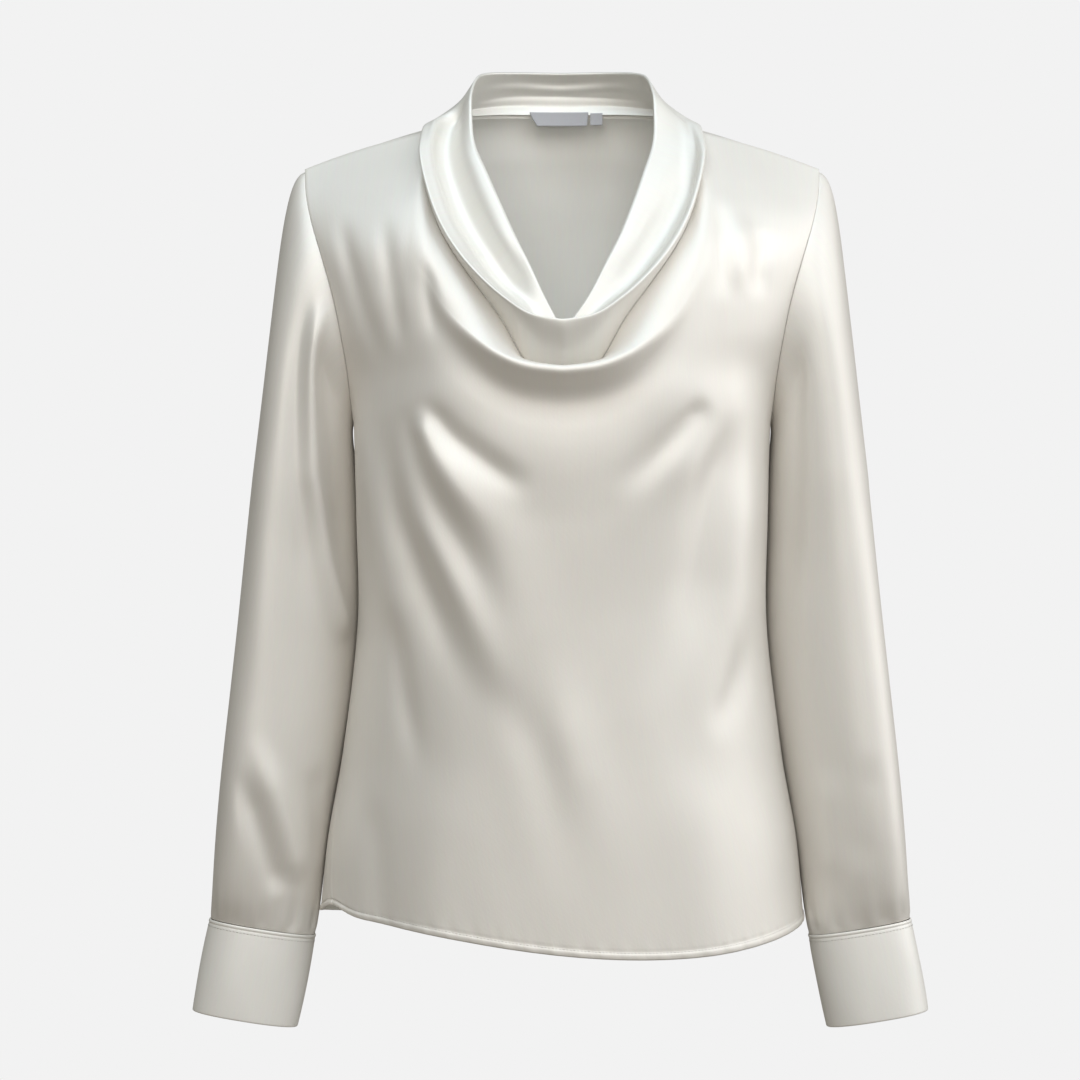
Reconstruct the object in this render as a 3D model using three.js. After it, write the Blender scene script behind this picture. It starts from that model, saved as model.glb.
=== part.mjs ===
// A woman's long-sleeved satin blouse, filled out as worn and hollow, in millimetres.
// +X is the viewer's right, +Y the back, +Z up. The origin is the middle of the neck base, level with
// the shoulder seams' inner ends. Each piece of cloth is a wall: its outer face is worked out from the
// tables, and its inner face lies one cloth thickness behind it.
import * as THREE from "three";

// A table of named columns from rows of numbers
function table(names, rows) {
  const columns = names.split(" ");
  return rows.map((row) => Object.fromEntries(columns.map((name, i) => [name, row[i]])));
}

// Cloth and seams
const panelCloth = 1.2; // one layer of satin, as a wall
const collarCloth = 2; // the collar is doubled
const cuffCloth = 2; // the cuffs are doubled
const labelCloth = 1;
const sideGap = 0.25; // each piece stands back from its seam by this much
const neckGap = 0.75;
const collarGap = 1.2;
const cuffGap = 0.34;
const armholeGap = 1.3;
const shoulderGap = 0.26;

// Hem
const hemRow = 0.23; // folded hem on front and back, as a share of the lowest row of cells
const hemRowStep = 0.04; // how soon above it the cloth is plain again
const hemStep = 0.5; // how far the folded hem stands out
const frontHem = { dip: -24, sweep: 27 }; // centre of the hem below the lowest torso row, and its rise
const backHem = { dip: -8, sweep: 11 }; // from there to the sides
const hemTilt = 2; // the hem hangs this much higher at the left side, and lower at the right
const hemFade = 8; // torso rows over which the hem's curve fades out
const ventRise = 6; // rounded corner of the hem at each side seam
const ventShare = 0.2; // share of a half panel that the corner takes
const hemReach = -620; // a fold that ends below this runs out through the hem

// Torso rows count up from the hem: 20 at the underarm, 33 at the shoulder point
const underarmRow = 20;
const shoulderRow = 33;
const strideRow = 26; // where a panel's lower rows end at its side
const lowerCells = 26;
const upperCells = shoulderRow - strideRow;
const rowPacking = 1.5; // above 1 the lower rows draw together towards the neckline
const frontCells = 36;
const backCells = 22;
const frontNeckCells = 11; // columns of cells that end on half the neckline
const backNeckCells = 6;

// Sections of the torso. A row runs from the centre line to its edge, at the side seam or the armhole.
// power and round shape the arch between the two, spread evens out its points, and turn moves the
// side seams round the body, in degrees.
const torsoNames = "at halfWidth edgeY edgeZ centreY centreZ power round spread turn";
const frontRows = table(torsoNames, [
  [0, 186, 0, -600, -113, -600, 2.2, 0.5, 0, 20],
  [3.2, 180, 0, -540, -111, -540, 2.2, 0.5, 0, 14],
  [6.8, 168.5, 0, -474, -109, -474, 2.2, 0.5, 0, 8],
  [12.3, 157, 0, -373, -108, -373, 2.35, 0.48, 0, 2],
  [16, 158, 0, -300, -112, -300, 2.45, 0.46, 0, 0],
  [20, 160, 0, -224, -118, -226, 2.5, 0.45, 0, 0],
  [21, 160.3, -9, -220, -118.5, -214, 2.8, 0.54, 0.02, 0],
  [22.2, 161.5, -21, -207, -118.5, -199, 3.1, 0.74, 0.06, 0],
  [23.8, 163.7, -36, -184, -118, -178, 3, 0.96, 0.14, 0],
  [25.5, 168, -47, -156, -116, -154, 2.6, 0.91, 0.26, 0],
  [27.2, 174, -50, -127, -112, -125, 2.3, 0.88, 0.42, 0],
  [29.1, 183, -45, -96, -101, -90, 2.1, 0.84, 0.62, 0],
  [30.6, 191, -33, -70, -82, -58, 2, 0.92, 0.78, 0],
  [31.8, 196, -18, -48, -54, -28, 2, 1, 0.9, 0],
  [33, 198, -2, -26.5, -10.3, 12.2, 2, 1, 1, 0],
]);
const backRows = table(torsoNames, [
  [0, 186, 0, -600, 104, -600, 2.2, 0.5, 0, 20],
  [3.2, 180, 0, -540, 100, -540, 2.2, 0.5, 0, 14],
  [6.8, 168.5, 0, -474, 94, -474, 2.2, 0.5, 0, 8],
  [12.3, 157, 0, -373, 84, -373, 2.35, 0.48, 0, 2],
  [16, 158, 0, -300, 89, -300, 2.45, 0.46, 0, 0],
  [20, 160, 0, -224, 97, -224, 2.5, 0.45, 0, 0],
  [21, 160.3, 10, -220, 98, -212, 2.8, 0.56, 0.02, 0],
  [22.2, 161.5, 24, -207, 99, -194, 3.1, 0.85, 0.06, 0],
  [23.8, 164.5, 41, -184, 100, -166, 2.9, 1.08, 0.14, 0],
  [25.5, 169, 54, -156, 100, -132, 2.4, 1, 0.26, 0],
  [27.2, 176, 58, -127, 98, -96, 2.3, 0.9, 0.42, 0],
  [29.1, 185, 52, -96, 93, -54, 2.1, 0.84, 0.62, 0],
  [30.6, 192, 38, -70, 85, -14, 2, 0.92, 0.78, 0],
  [31.8, 196.5, 19, -46.5, 70, 20, 2, 1, 0.9, 0],
  [32.5, 197.5, 8, -33, 33, 23, 2, 1, 0.96, 0],
  [33, 198, -2, -26.5, -10.3, 12.2, 2, 1, 1, 0],
]);

// The neckline seam, from the centre out to the shoulder seam's inner end
const frontSeam = table("at x y z", [
  [0, 0, -100, -208],
  [0.08, 16, -101.5, -199],
  [0.17, 28, -103, -180],
  [0.32, 46, -101.5, -147],
  [0.47, 67, -94, -118],
  [0.6, 84, -82, -93],
  [0.74, 96, -65, -68],
  [0.88, 101.5, -40, -34],
  [1, 102, -8, 2.8],
]);
const backSeam = table("at x y z row", [
  [0, 0, 68, 21, 31.85],
  [0.26, 42, 61.5, 21, 31.9],
  [0.54, 77, 44, 17.5, 32.15],
  [0.8, 94.5, 18, 10, 32.6],
  [1, 102, -8, 2.8, 33],
]);

// The crest of the front's draped fold, below the neckline. lift is how far it stands off the torso.
const frontCrest = table("at x z lift", [
  [0, 0, -184.5, 14],
  [0.14, 27, -181.2, 13.2],
  [0.27, 47, -173.2, 11.2],
  [0.38, 62, -162.8, 8.4],
  [0.5, 77, -150, 5.4],
  [0.62, 90, -135, 2.9],
  [0.76, 101, -116, 1.2],
  [1, 118, -97, 0],
]);
// The share of that lift by the depth below the crest: the fold stands proud, then turns in under itself
const crestShape = table("at share", [
  [-20, 0.75],
  [0, 0.9],
  [2, 1],
  [5, 0.93],
  [9, 0.62],
  [14, 0.16],
  [19, -0.15],
  [24, -0.3],
  [30, -0.34],
  [38, -0.27],
  [48, -0.12],
  [60, 0],
  [75, 0.05],
  [95, 0.03],
  [112, 0],
  [124, 0],
]);
const crestTop = 0.9; // the crest's own share of the lift
const crestRise = 1.5; // how roundly the fold turns over behind its crest
const crestTurn = 1.6; // how soon behind the crest the cloth is back on the torso
const crestEnd = { x: 118, z: -97 };
const backCrestRow = 28.2; // where the back's lower rows end at its centre

// Collar sections, from the centre out to the shoulder seam's inner end. Each runs from the neckline
// seam over the outer roll and through a hollow to the inner top edge.
const collarNames = "at rollX rollY rollZ hollowX hollowY hollowZ edgeX edgeY edgeZ";
const collarBack = table(collarNames, [
  [0, 0, 73, 30, 0, 69.5, 45, 0, 61, 55],
  [0.26, 44, 67.5, 29, 40, 63, 45, 35, 56, 55],
  [0.54, 79.5, 47, 23, 68, 43, 40, 58, 39, 52.5],
  [0.8, 97, 20, 14, 77, 15, 30, 67, 12, 45],
  [1, 107, -13, 6, 88, -8.5, 14, 70.5, -9, 30],
]);
const collarFront = table(collarNames, [
  [0, 0, -129, -149, 0, -112, -165, 0, -105, -155],
  [0.155, 24, -126.5, -144.5, 15, -107, -152, 7, -104, -143],
  [0.31, 44, -121, -132, 29, -101.5, -133, 15.5, -99, -126],
  [0.425, 60, -113.5, -118, 42, -93, -116, 25, -90.5, -105],
  [0.54, 76, -103, -100, 56, -83, -93, 35.5, -80, -83],
  [0.66, 90, -88, -78, 69, -69.5, -72, 46, -67, -59],
  [0.79, 101, -71, -51, 81, -53.5, -46, 57, -51, -33],
  [0.92, 109, -43, -16, 91, -29.5, -12, 68, -30, -4],
  [1, 107, -13, 6, 88, -8.5, 14, 70.5, -9, 30],
]);
const rollReach = 7; // the roll is rounded by a point on each side of it, this far along
const rollWidth = 8; // and this far apart
const collarLean = 7; // the right top edge lies further out than the left one
const hollowLean = 4.2;
const collarCells = [3, 1, 1, 3, 2]; // cells from the seam up to the roll, over it and on to the top edge

// Sleeve rings below the underarm: outer and inner side, middle and half depth. slant is how far the
// outer side stands above the ring's middle, and skew how far the inner side lies behind it, beside the
// body. at is measured down the sleeve from the first ring.
const ringNames = "at outer inner midY halfDepth z slant skew";
const sleeveRings = table(ringNames, [
  [0, 237, 158.8, 4, 55, -262, 0, 14],
  [50, 241.8, 157.4, 4, 52, -312, 0, 18],
  [111, 247.8, 156.6, 3, 50, -373, 0, 20],
  [168, 254, 161.6, 1, 49, -430, 0, 20],
  [213, 258.8, 168.6, -1, 48, -474, 1, 19],
  [252, 262.4, 175.8, -3, 46, -512, 2.5, 18],
  [291, 265.4, 182, -5, 42, -550, 4, 16],
  [327, 267.6, 186.3, -7, 35, -586, 5.5, 13],
  [349.5, 269, 190, -9, 27.6, -607.8, 6.9, 6],
]);
const ringSquare = 2.35; // 2 is an ellipse, and more is squarer
const capCells = 7;
const sleeveCells = 15;
const roundCells = 2 * (shoulderRow - underarmRow);
// How the right arm hangs at its outer side: out at the top, and in from the elbow down
const rightLean = { upper: 2.2, lower: -2.8, from: -110, over: 180 };

// How the lines of the sleeve head leave the armhole and come down on the first ring
const capLeave = { out: 0.82, outLow: 0.3, forward: -0.3, down: -0.5, downTop: -0.2, downLow: -0.95 };
const capReach = { side: 30, top: 17, low: 10 };
const capArrive = { inward: 7, inwardTop: 13, up: 74, upTop: 166, upLow: 12 };
const capTopTurn = 75; // degrees round the shoulder point that belong to its top
const capLowTurn = 105; // where the underarm's share begins
const capLowSpan = 60;

// Cuffs
const cuffTop = { outer: 269.9, inner: 189.6, midY: -9, halfDepth: 28.2, z: -608.4, slant: 6.9, skew: 6 };
const cuffEnd = { outer: 283, inner: 203, midY: -13, halfDepth: 27, z: -678, slant: 6.8, skew: 3 };
const cuffCells = 4;

// Neck label and size tab, hung at the back neck seam
const neckLabel = { from: -25, to: 21, top: 24.5, drop: 11 };
const sizeTab = { from: 22.6, to: 32, top: 23.6, drop: 9.6 };
const labelY = 64.1;
const labelBend = 0.0034;
const labelCells = 6;

// Soft folds, each along a smooth line through a few points: [x, z] in the view from the front. A
// negative height is a trough, and the widths are those at the fold's start and end.
const fold = (line, startWidth, endWidth, height) => ({ line, startWidth, endWidth, height });
const frontFolds = [
  fold([[-118, -196], [-92, -280], [-48, -370], [-6, -450]], 30, 44, 5),
  fold([[-109, -210], [-98, -243], [-82, -266], [-65, -286], [-44, -310], [-12, -362]], 9, 22, 6.5),
  fold([[-107, -205], [-86, -231], [-63, -250], [-40, -266], [-18, -273]], 8, 10, -4.5),
  fold([[-117, -208], [-105, -250], [-90, -285], [-71, -320], [-55, -350], [-30, -400]], 8, 15, -4.8),
  fold([[-123, -238], [-109, -289], [-90, -327], [-71, -366], [-52, -404], [-30, -434]], 9, 14, 3),
  fold([[-134, -215], [-122, -289], [-109, -327], [-94, -362], [-79, -397], [-44, -456]], 8, 16, -6),
  fold([[-152, -204], [-143, -256], [-132, -320], [-125, -358], [-115, -389], [-84, -480]], 8, 18, 5.5),
  fold([[-135, -342], [-125, -389], [-119, -427], [-113, -458], [-106, -490]], 7, 9, -3.5),
  fold([[111, -206], [95, -223], [75, -243], [56, -262], [34, -276]], 8, 11, -4),
  fold([[114, -222], [91, -254], [72, -273], [30, -318]], 10, 20, 2.6),
  fold([[137, -204], [125, -243], [112, -281], [104, -320], [97, -350], [83, -389], [42, -450]], 11, 22, -6),
  fold([[146, -240], [139, -281], [133, -320], [131, -358], [119, -395], [80, -462]], 11, 22, 4.5),
  fold([[139, -376], [131, -420], [123, -440], [113, -462]], 8, 10, -3),
  fold([[-10, -390], [2, -440], [10, -481], [22, -512], [56, -580]], 16, 24, 3.2),
  fold([[-62, -410], [-36, -440], [-15, -478], [-9, -512], [4, -560]], 15, 18, -1.8),
  fold([[-92, -470], [-96, -550], [-98, -640]], 20, 24, 2),
  fold([[-146, -500], [-140, -551], [-134, -640]], 10, 12, -2),
  fold([[98, -470], [106, -550], [112, -640]], 20, 26, 2.5),
  fold([[-170, -61], [-161, -102], [-147, -151], [-132, -186]], 9, 9, -3),
  fold([[-137, -61], [-131, -102], [-125, -144], [-118, -177]], 8, 9, -2.5),
  fold([[118, -50], [120, -91], [119, -136]], 9, 9, -2.5),
  fold([[154, -76], [150, -102], [145, -132]], 9, 9, -2.5),
];
const backFolds = [
  fold([[-150, -190], [-70, -260], [0, -268]], 16, 16, -4),
  fold([[150, -196], [76, -262], [6, -272]], 16, 16, -4),
  fold([[-112, -300], [-96, -450], [-104, -640]], 20, 20, 5),
  fold([[-52, -330], [-44, -470], [-40, -640]], 20, 20, -4),
  fold([[8, -310], [14, -460], [20, -640]], 21, 21, 5),
  fold([[66, -340], [72, -470], [80, -640]], 19, 19, -4),
  fold([[118, -310], [120, -450], [130, -640]], 17, 17, 4),
];
// On the sleeves a line runs through [turn, drop]: degrees from the outer side towards the front, and
// millimetres below the shoulder point. The seam side of both sleeves is folded alike.
const seamSideFolds = [
  fold([[236, 120], [243, 270], [250, 420]], 18, 18, -4),
  fold([[290, 80], [288, 230], [285, 380]], 18, 18, 3.5),
  fold([[225, 470], [238, 517], [250, 565]], 13, 13, -3.5),
  fold([[268, 430], [280, 500], [300, 570]], 13, 14, 3.5),
];
const leftSleeveFolds = [
  fold([[76, 70], [82, 101], [90, 168], [99, 244], [108, 290], [117, 333], [131, 370], [144, 392]], 9, 11, 5),
  fold([[66, 90], [74, 168], [83, 244], [92, 290], [100, 333], [112, 380]], 9, 11, -3),
  fold([[120, 130], [132, 220], [142, 300], [152, 350]], 14, 14, -5),
  fold([[40, 60], [46, 200], [52, 340], [58, 440]], 13, 16, 2.5),
  fold([[60, 455], [90, 507], [111, 545], [128, 577]], 11, 12, 4),
  fold([[48, 480], [74, 522], [96, 560], [108, 585]], 11, 11, -3.5),
  ...seamSideFolds,
];
const rightSleeveFolds = [
  fold([[62, 50], [66, 170], [74, 300], [86, 430]], 12, 16, 2),
  fold([[118, 100], [116, 200], [122, 300], [132, 400]], 11, 12, -3),
  fold([[90, 120], [92, 240], [100, 360], [112, 470]], 12, 15, 1.6),
  fold([[104, 480], [114, 530], [120, 580]], 11, 12, 2),
  ...seamSideFolds,
];
const foldSteps = 6; // straight steps between two points of a fold's line
const foldFade = 0.35; // share of a fold's length over which it fades in, and out
const roundMillimetre = 0.83; // millimetres round a sleeve for each degree of turn
const calmEdge = 0.12; // folds die away over this share of a panel before its side
const calmRows = 2.5; // and over this many rows before the shoulder seam

const mix = (a, b, share) => a + (b - a) * share;
const clamp = (value, low, high) => Math.min(Math.max(value, low), high);
const ease = (value) => {
  const u = clamp(value, 0, 1);
  return u * u * (3 - 2 * u);
};
const vector = (x, y, z) => new THREE.Vector3(x, y, z);
const radians = (degrees) => (degrees * Math.PI) / 180;

// A column of a table, read between its rows on a smooth curve
function read(rows, column, at) {
  const last = rows.length - 1;
  let i = 0;
  while (i < last - 1 && at > rows[i + 1].at) i++;
  const [a, b] = [rows[i], rows[i + 1]];
  const span = b.at - a.at;
  const u = clamp((at - a.at) / span, 0, 1);
  const slope = (p, q) => (q[column] - p[column]) / (q.at - p.at);
  const leave = i === 0 ? slope(a, b) : slope(rows[i - 1], b);
  const arrive = i + 2 > last ? slope(a, b) : slope(a, rows[i + 2]);
  const u2 = u * u;
  const u3 = u2 * u;
  return (
    (2 * u3 - 3 * u2 + 1) * a[column] +
    (u3 - 2 * u2 + u) * span * leave +
    (3 * u2 - 2 * u3) * b[column] +
    (u3 - u2) * span * arrive
  );
}
const readPoint = (rows, names, at) => vector(...names.map((name) => read(rows, name, at)));

const front = {
  rows: frontRows,
  side: -1,
  cells: frontCells,
  neckCells: frontNeckCells,
  seam: frontSeam,
  collar: collarFront,
  folds: frontFolds,
  hem: frontHem,
};
const back = {
  rows: backRows,
  side: 1,
  cells: backCells,
  neckCells: backNeckCells,
  seam: backSeam,
  collar: collarBack,
  folds: backFolds,
  hem: backHem,
};
front.other = back;
back.other = front;
const neckShare = (panel) => (2 * panel.neckCells) / panel.cells;

// A point of the torso: across is -1 at the left seam and 1 at the right one
function torso(panel, across, row) {
  const angle = across - (panel.side * read(panel.rows, "turn", row)) / 90;
  const past = Math.abs(angle) > 1;
  const rows = past ? panel.other.rows : panel.rows;
  const t = past ? Math.sign(angle) * (2 - Math.abs(angle)) : angle;
  const spread = read(rows, "spread", row);
  const share = (1 - spread) * Math.sin((t * Math.PI) / 2) + spread * t;
  const under = 1 - Math.pow(Math.abs(share), read(rows, "power", row));
  const arch = Math.pow(Math.max(under, 0), read(rows, "round", row));
  return vector(
    share * read(rows, "halfWidth", row),
    mix(read(rows, "edgeY", row), read(rows, "centreY", row), arch),
    mix(read(rows, "centreZ", row), read(rows, "edgeZ", row), share * share),
  );
}

// The value between low and high at which a rising measure reaches its target
function search(low, high, isBelow) {
  for (let i = 0; i < 40; i++) {
    const middle = (low + high) / 2;
    if (isBelow(middle)) low = middle;
    else high = middle;
  }
  return low;
}
const acrossAt = (panel, x, row) => search(-1, 1, (across) => torso(panel, across, row).x < x);

// The across and row of the torso point with this x and z
function place(panel, x, z) {
  const row = search(0, shoulderRow, (level) => {
    const share = x / read(panel.rows, "halfWidth", level);
    return mix(read(panel.rows, "centreZ", level), read(panel.rows, "edgeZ", level), share * share) < z;
  });
  return { across: acrossAt(panel, x, row), row };
}

// How far the folds move a point out, by its distance from each fold's line
function liftOf(folds, x, z) {
  let lift = 0;
  for (const item of folds) {
    const steps = foldSteps * (item.line.length - 1);
    item.path ||= new THREE.SplineCurve(item.line.map((p) => new THREE.Vector2(...p))).getPoints(steps);
    let nearest = Infinity;
    let along = 0;
    for (let i = 0; i < steps; i++) {
      const [a, b] = [item.path[i], item.path[i + 1]];
      const [dx, dz] = [b.x - a.x, b.y - a.y];
      const u = clamp(((x - a.x) * dx + (z - a.y) * dz) / (dx * dx + dz * dz), 0, 1);
      const distance = Math.hypot(x - a.x - u * dx, z - a.y - u * dz);
      if (distance < nearest) {
        nearest = distance;
        along = (i + u) / steps;
      }
    }
    const runsOut = item.line[item.line.length - 1][1] < hemReach;
    const fade = ease(along / foldFade) * (runsOut ? 1 : ease((1 - along) / foldFade));
    const width = mix(item.startWidth, item.endWidth, along);
    lift += item.height * fade * Math.exp(-((nearest / width) ** 2));
  }
  return lift;
}

// Outward direction of the torso's cloth
function torsoOut(panel, across, row) {
  const step = 0.01;
  const point = torso(panel, across, row);
  const inside = Math.abs(across) > 1 - 2 * step ? -Math.sign(across) * step : step;
  const beside = torso(panel, across + inside, row).sub(point);
  const above = torso(panel, across, row + (row > shoulderRow - 1 ? -0.1 : 0.1)).sub(point);
  const out = beside.cross(above).normalize();
  const away = vector(point.x / 4, point.y + 20 * panel.side, 0);
  return out.dot(away) < 0 ? out.negate() : out;
}

// How far up the torso a lower row of a panel lies, as a share of the way to its crest
const rowShare = (row) => (row / strideRow) * (rowPacking - ((rowPacking - 1) * row) / strideRow);

// Where a panel's column meets the top edge: on the neckline seam or on the shoulder seam
function topOf(panel, seamX, seamZ, onNeck, onShoulder) {
  const corner = acrossAt(panel, panel.seam[panel.seam.length - 1].x, shoulderRow);
  if (onShoulder > 0) return { across: mix(corner, 1, onShoulder), row: shoulderRow };
  if (panel === front) return place(panel, seamX, seamZ);
  const row = read(panel.seam, "row", onNeck);
  return { across: acrossAt(panel, seamX, row), row };
}

// Where the same column passes from the lower rows to the upper ones
function crestOf(panel, onNeck, onShoulder) {
  const end = place(panel, crestEnd.x, crestEnd.z);
  if (onShoulder > 0)
    return { across: mix(end.across, 1, onShoulder), row: mix(end.row, strideRow, ease(onShoulder)) };
  if (panel === front) return place(panel, read(frontCrest, "x", onNeck), read(frontCrest, "z", onNeck));
  return { across: mix(0, end.across, onNeck), row: mix(backCrestRow, end.row, onNeck * onNeck) };
}

// One point of a panel. column runs from -1 to 1, row from 0 at the hem to shoulderRow.
function panelPoint(panel, column, row) {
  const isFront = panel === front;
  const sign = Math.sign(column) || 1;
  const c = Math.abs(column);
  const share = neckShare(panel);
  const onNeck = clamp(c / share, 0, 1);
  const onShoulder = clamp((c - share) / (1 - share), 0, 1);
  const underNeck = onShoulder === 0;
  const seam = readPoint(panel.seam, ["x", "y", "z"], onNeck);
  const top = topOf(panel, seam.x, seam.z, onNeck, onShoulder);
  const crest = crestOf(panel, onNeck, onShoulder);

  const upper = row > strideRow;
  const w = upper ? (row - strideRow) / upperCells : rowShare(row);
  const turned = isFront ? 1 - ease(onNeck / 0.9) : 0;
  const w2 = upper ? Math.pow(w, 1 + 0.55 * turned) : w;
  const across = upper ? mix(crest.across, top.across, w2) : mix(c, crest.across, w);
  const level = upper ? mix(crest.row, top.row, w2) : crest.row * w;
  const point = torso(panel, sign * across, level);
  const out = torsoOut(panel, sign * across, level);
  const calm = ease((1 - across) / calmEdge) * ease((shoulderRow - level) / calmRows);
  const proud = isFront && underNeck ? read(frontCrest, "lift", onNeck) : 0;
  let lift = liftOf(panel.folds, point.x, point.z) * calm;
  if (upper && underNeck) lift = lift * (1 - w) + proud * crestTop * (1 - w) ** crestTurn;
  else if (proud > 0) lift += proud * read(crestShape, "share", read(frontCrest, "z", onNeck) - point.z);
  point.addScaledVector(out, lift);
  if (upper) point.z += crestRise * proud * w * (1 - w) ** 2;
  if (upper && underNeck) {
    const pull = seam.clone().setX(sign * seam.x).sub(torso(panel, sign * top.across, top.row));
    point.addScaledVector(pull, w * w);
  }
  const low = clamp(1 - level / hemFade, 0, 1);
  const sweep = Math.sin((c * Math.PI) / 2) ** 2;
  const vent = ease((c - 1 + ventShare) / ventShare) ** 1.5;
  point.z += low * low * (panel.hem.dip + panel.hem.sweep * sweep - hemTilt * column);
  point.z += low ** 6 * ventRise * vent;
  return point;
}

// Rows of a panel, with two close rows where the folded hem steps back
function panelRows() {
  const rows = [0, hemRow, hemRow + hemRowStep];
  for (let i = 1; i <= lowerCells + upperCells; i++) rows.push(i);
  return rows;
}

// A point's own gap at one end of a wall: the distance it moves towards its neighbour
const toward = (from, to, gap) => to.clone().sub(from).setLength(gap);

// Normals of a grid of points, by its neighbours on both sides
function normalsOf(grid, wraps, flip) {
  const [rows, columns] = [grid.length, grid[0].length];
  const around = (j) => (wraps ? (j + columns) % columns : clamp(j, 0, columns - 1));
  const up = (i) => clamp(i, 0, rows - 1);
  return grid.map((line, i) =>
    line.map((_, j) => {
      const alongRow = grid[i][around(j + 1)].clone().sub(grid[i][around(j - 1)]);
      const alongColumn = grid[up(i + 1)][j].clone().sub(grid[up(i - 1)][j]);
      return alongRow.cross(alongColumn).normalize().multiplyScalar(flip ? -1 : 1);
    }),
  );
}

// A grid whose borders stand back from their seams by the gaps
function standBack(grid, wraps, gaps) {
  const last = grid.length - 1;
  const end = grid[0].length - 1;
  return grid.map((line, i) =>
    line.map((p, j) => {
      const q = p.clone();
      if (i === 0 && gaps.first) q.add(toward(p, grid[1][j], gaps.first));
      if (i === last && gaps.last) q.add(toward(p, grid[last - 1][j], gaps.last(j)));
      if (!wraps && j === 0 && gaps.side) q.add(toward(p, line[1], gaps.side));
      if (!wraps && j === end && gaps.side) q.add(toward(p, line[end - 1], gaps.side));
      return q;
    }),
  );
}

// A closed wall from a grid of outer points. Each point goes in by the thickness along its normal,
// or along the direction that steer gives for it, and out by raise.
function wall(grid, thickness, options) {
  const { wraps = false, flip = false, gaps = {}, raise = () => 0, steer = () => null } = options;
  const [rows, columns] = [grid.length, grid[0].length];
  const normals = normalsOf(grid, wraps, flip);
  const moved = standBack(grid, wraps, gaps);
  const positions = [];
  for (const layer of [0, 1])
    moved.forEach((line, i) =>
      line.forEach((q, j) => {
        const out = steer(i, j) || normals[i][j];
        const p = q.clone().addScaledVector(out, layer ? -thickness : raise(i, j));
        positions.push(p.x, p.y, p.z);
      }),
    );
  const faces = [];
  const inner = rows * columns;
  const index = (i, j) => i * columns + (wraps ? j % columns : j);
  const quad = (a, b, c, d) => (flip ? faces.push(a, c, b, a, d, c) : faces.push(a, b, c, a, c, d));
  const side = (a, b) => quad(a, b, inner + b, inner + a);
  const spans = wraps ? columns : columns - 1;
  for (let i = 0; i < rows - 1; i++)
    for (let j = 0; j < spans; j++) {
      const [a, b, c, d] = [index(i, j), index(i, j + 1), index(i + 1, j + 1), index(i + 1, j)];
      quad(a, b, c, d);
      quad(inner + a, inner + d, inner + c, inner + b);
    }
  for (let j = 0; j < spans; j++) {
    side(index(0, j + 1), index(0, j));
    side(index(rows - 1, j), index(rows - 1, j + 1));
  }
  if (!wraps)
    for (let i = 0; i < rows - 1; i++) {
      side(index(i, 0), index(i + 1, 0));
      side(index(i + 1, columns - 1), index(i, columns - 1));
    }
  const geometry = new THREE.BufferGeometry();
  geometry.setAttribute("position", new THREE.Float32BufferAttribute(positions, 3));
  geometry.setIndex(faces);
  geometry.computeVertexNormals();
  return geometry;
}

// Front and back. Their outer face is raised over the folded hem, and at the shoulder both walls
// are cut to one direction so that they meet without crossing.
function makePanel(panel) {
  const levels = panelRows();
  const columnAt = (j) => (2 * j) / panel.cells - 1;
  const grid = levels.map((row) => {
    const line = [];
    for (let j = 0; j <= panel.cells; j++) line.push(panelPoint(panel, columnAt(j), row));
    return line;
  });
  const atShoulder = (j) => Math.abs(columnAt(j)) > neckShare(panel) - 0.001;
  const shoulderAim = (sign) => vector(0.26 * sign, -0.3, 0.92).normalize();
  return wall(grid, panelCloth, {
    flip: panel === back,
    gaps: { side: sideGap, last: (j) => (atShoulder(j) ? shoulderGap : neckGap) },
    raise: (i) => (i < 2 ? hemStep : 0),
    steer: (i, j) => {
      const column = columnAt(j);
      if (i === grid.length - 1 && atShoulder(j)) return shoulderAim(Math.sign(column));
      if (Math.abs(column) < 1) return null;
      const level = levels[i] > strideRow ? levels[i] : strideRow * rowShare(levels[i]);
      return torsoOut(panel, column, level);
    },
  });
}

// A column of the collar: its foot is on the neckline, halfway between two columns of the panel or
// on one of them, so that the two edges run together
function collarLine(panel, step, sign) {
  const at = step / 2 / panel.neckCells;
  const [low, high] = [Math.floor(step / 2), Math.ceil(step / 2)];
  const feet = [low, high].map((cell) => readPoint(panel.seam, ["x", "y", "z"], cell / panel.neckCells));
  const foot = feet[0].lerp(feet[1], 0.5);
  const [roll, hollow, edge] = ["roll", "hollow", "edge"].map((part) =>
    readPoint(panel.collar, [part + "X", part + "Y", part + "Z"], at),
  );
  if (panel === front && sign > 0) {
    edge.x += collarLean * Math.sin(at * Math.PI);
    hollow.x += hollowLean * Math.sin(at * Math.PI);
  }
  const down = foot.clone().sub(roll).normalize();
  const inward = hollow.clone().sub(roll).normalize();
  const apart = down.clone().sub(inward);
  apart.setLength(Math.max((rollWidth - rollReach * apart.length()) / 2, 0));
  const downReach = Math.min(rollReach, foot.distanceTo(roll) / 2);
  const before = roll.clone().addScaledVector(down, downReach).add(apart);
  const after = roll.clone().addScaledVector(inward, rollReach).sub(apart);
  const curve = new THREE.CatmullRomCurve3([foot, before, roll, after, hollow, edge]);
  const line = [];
  collarCells.forEach((cells, i) => {
    for (let j = 0; j < cells; j++) line.push(curve.getPoint((i + j / cells) / collarCells.length));
  });
  line.push(edge);
  return line.map((p) => p.clone().setX(sign * p.x));
}

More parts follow.
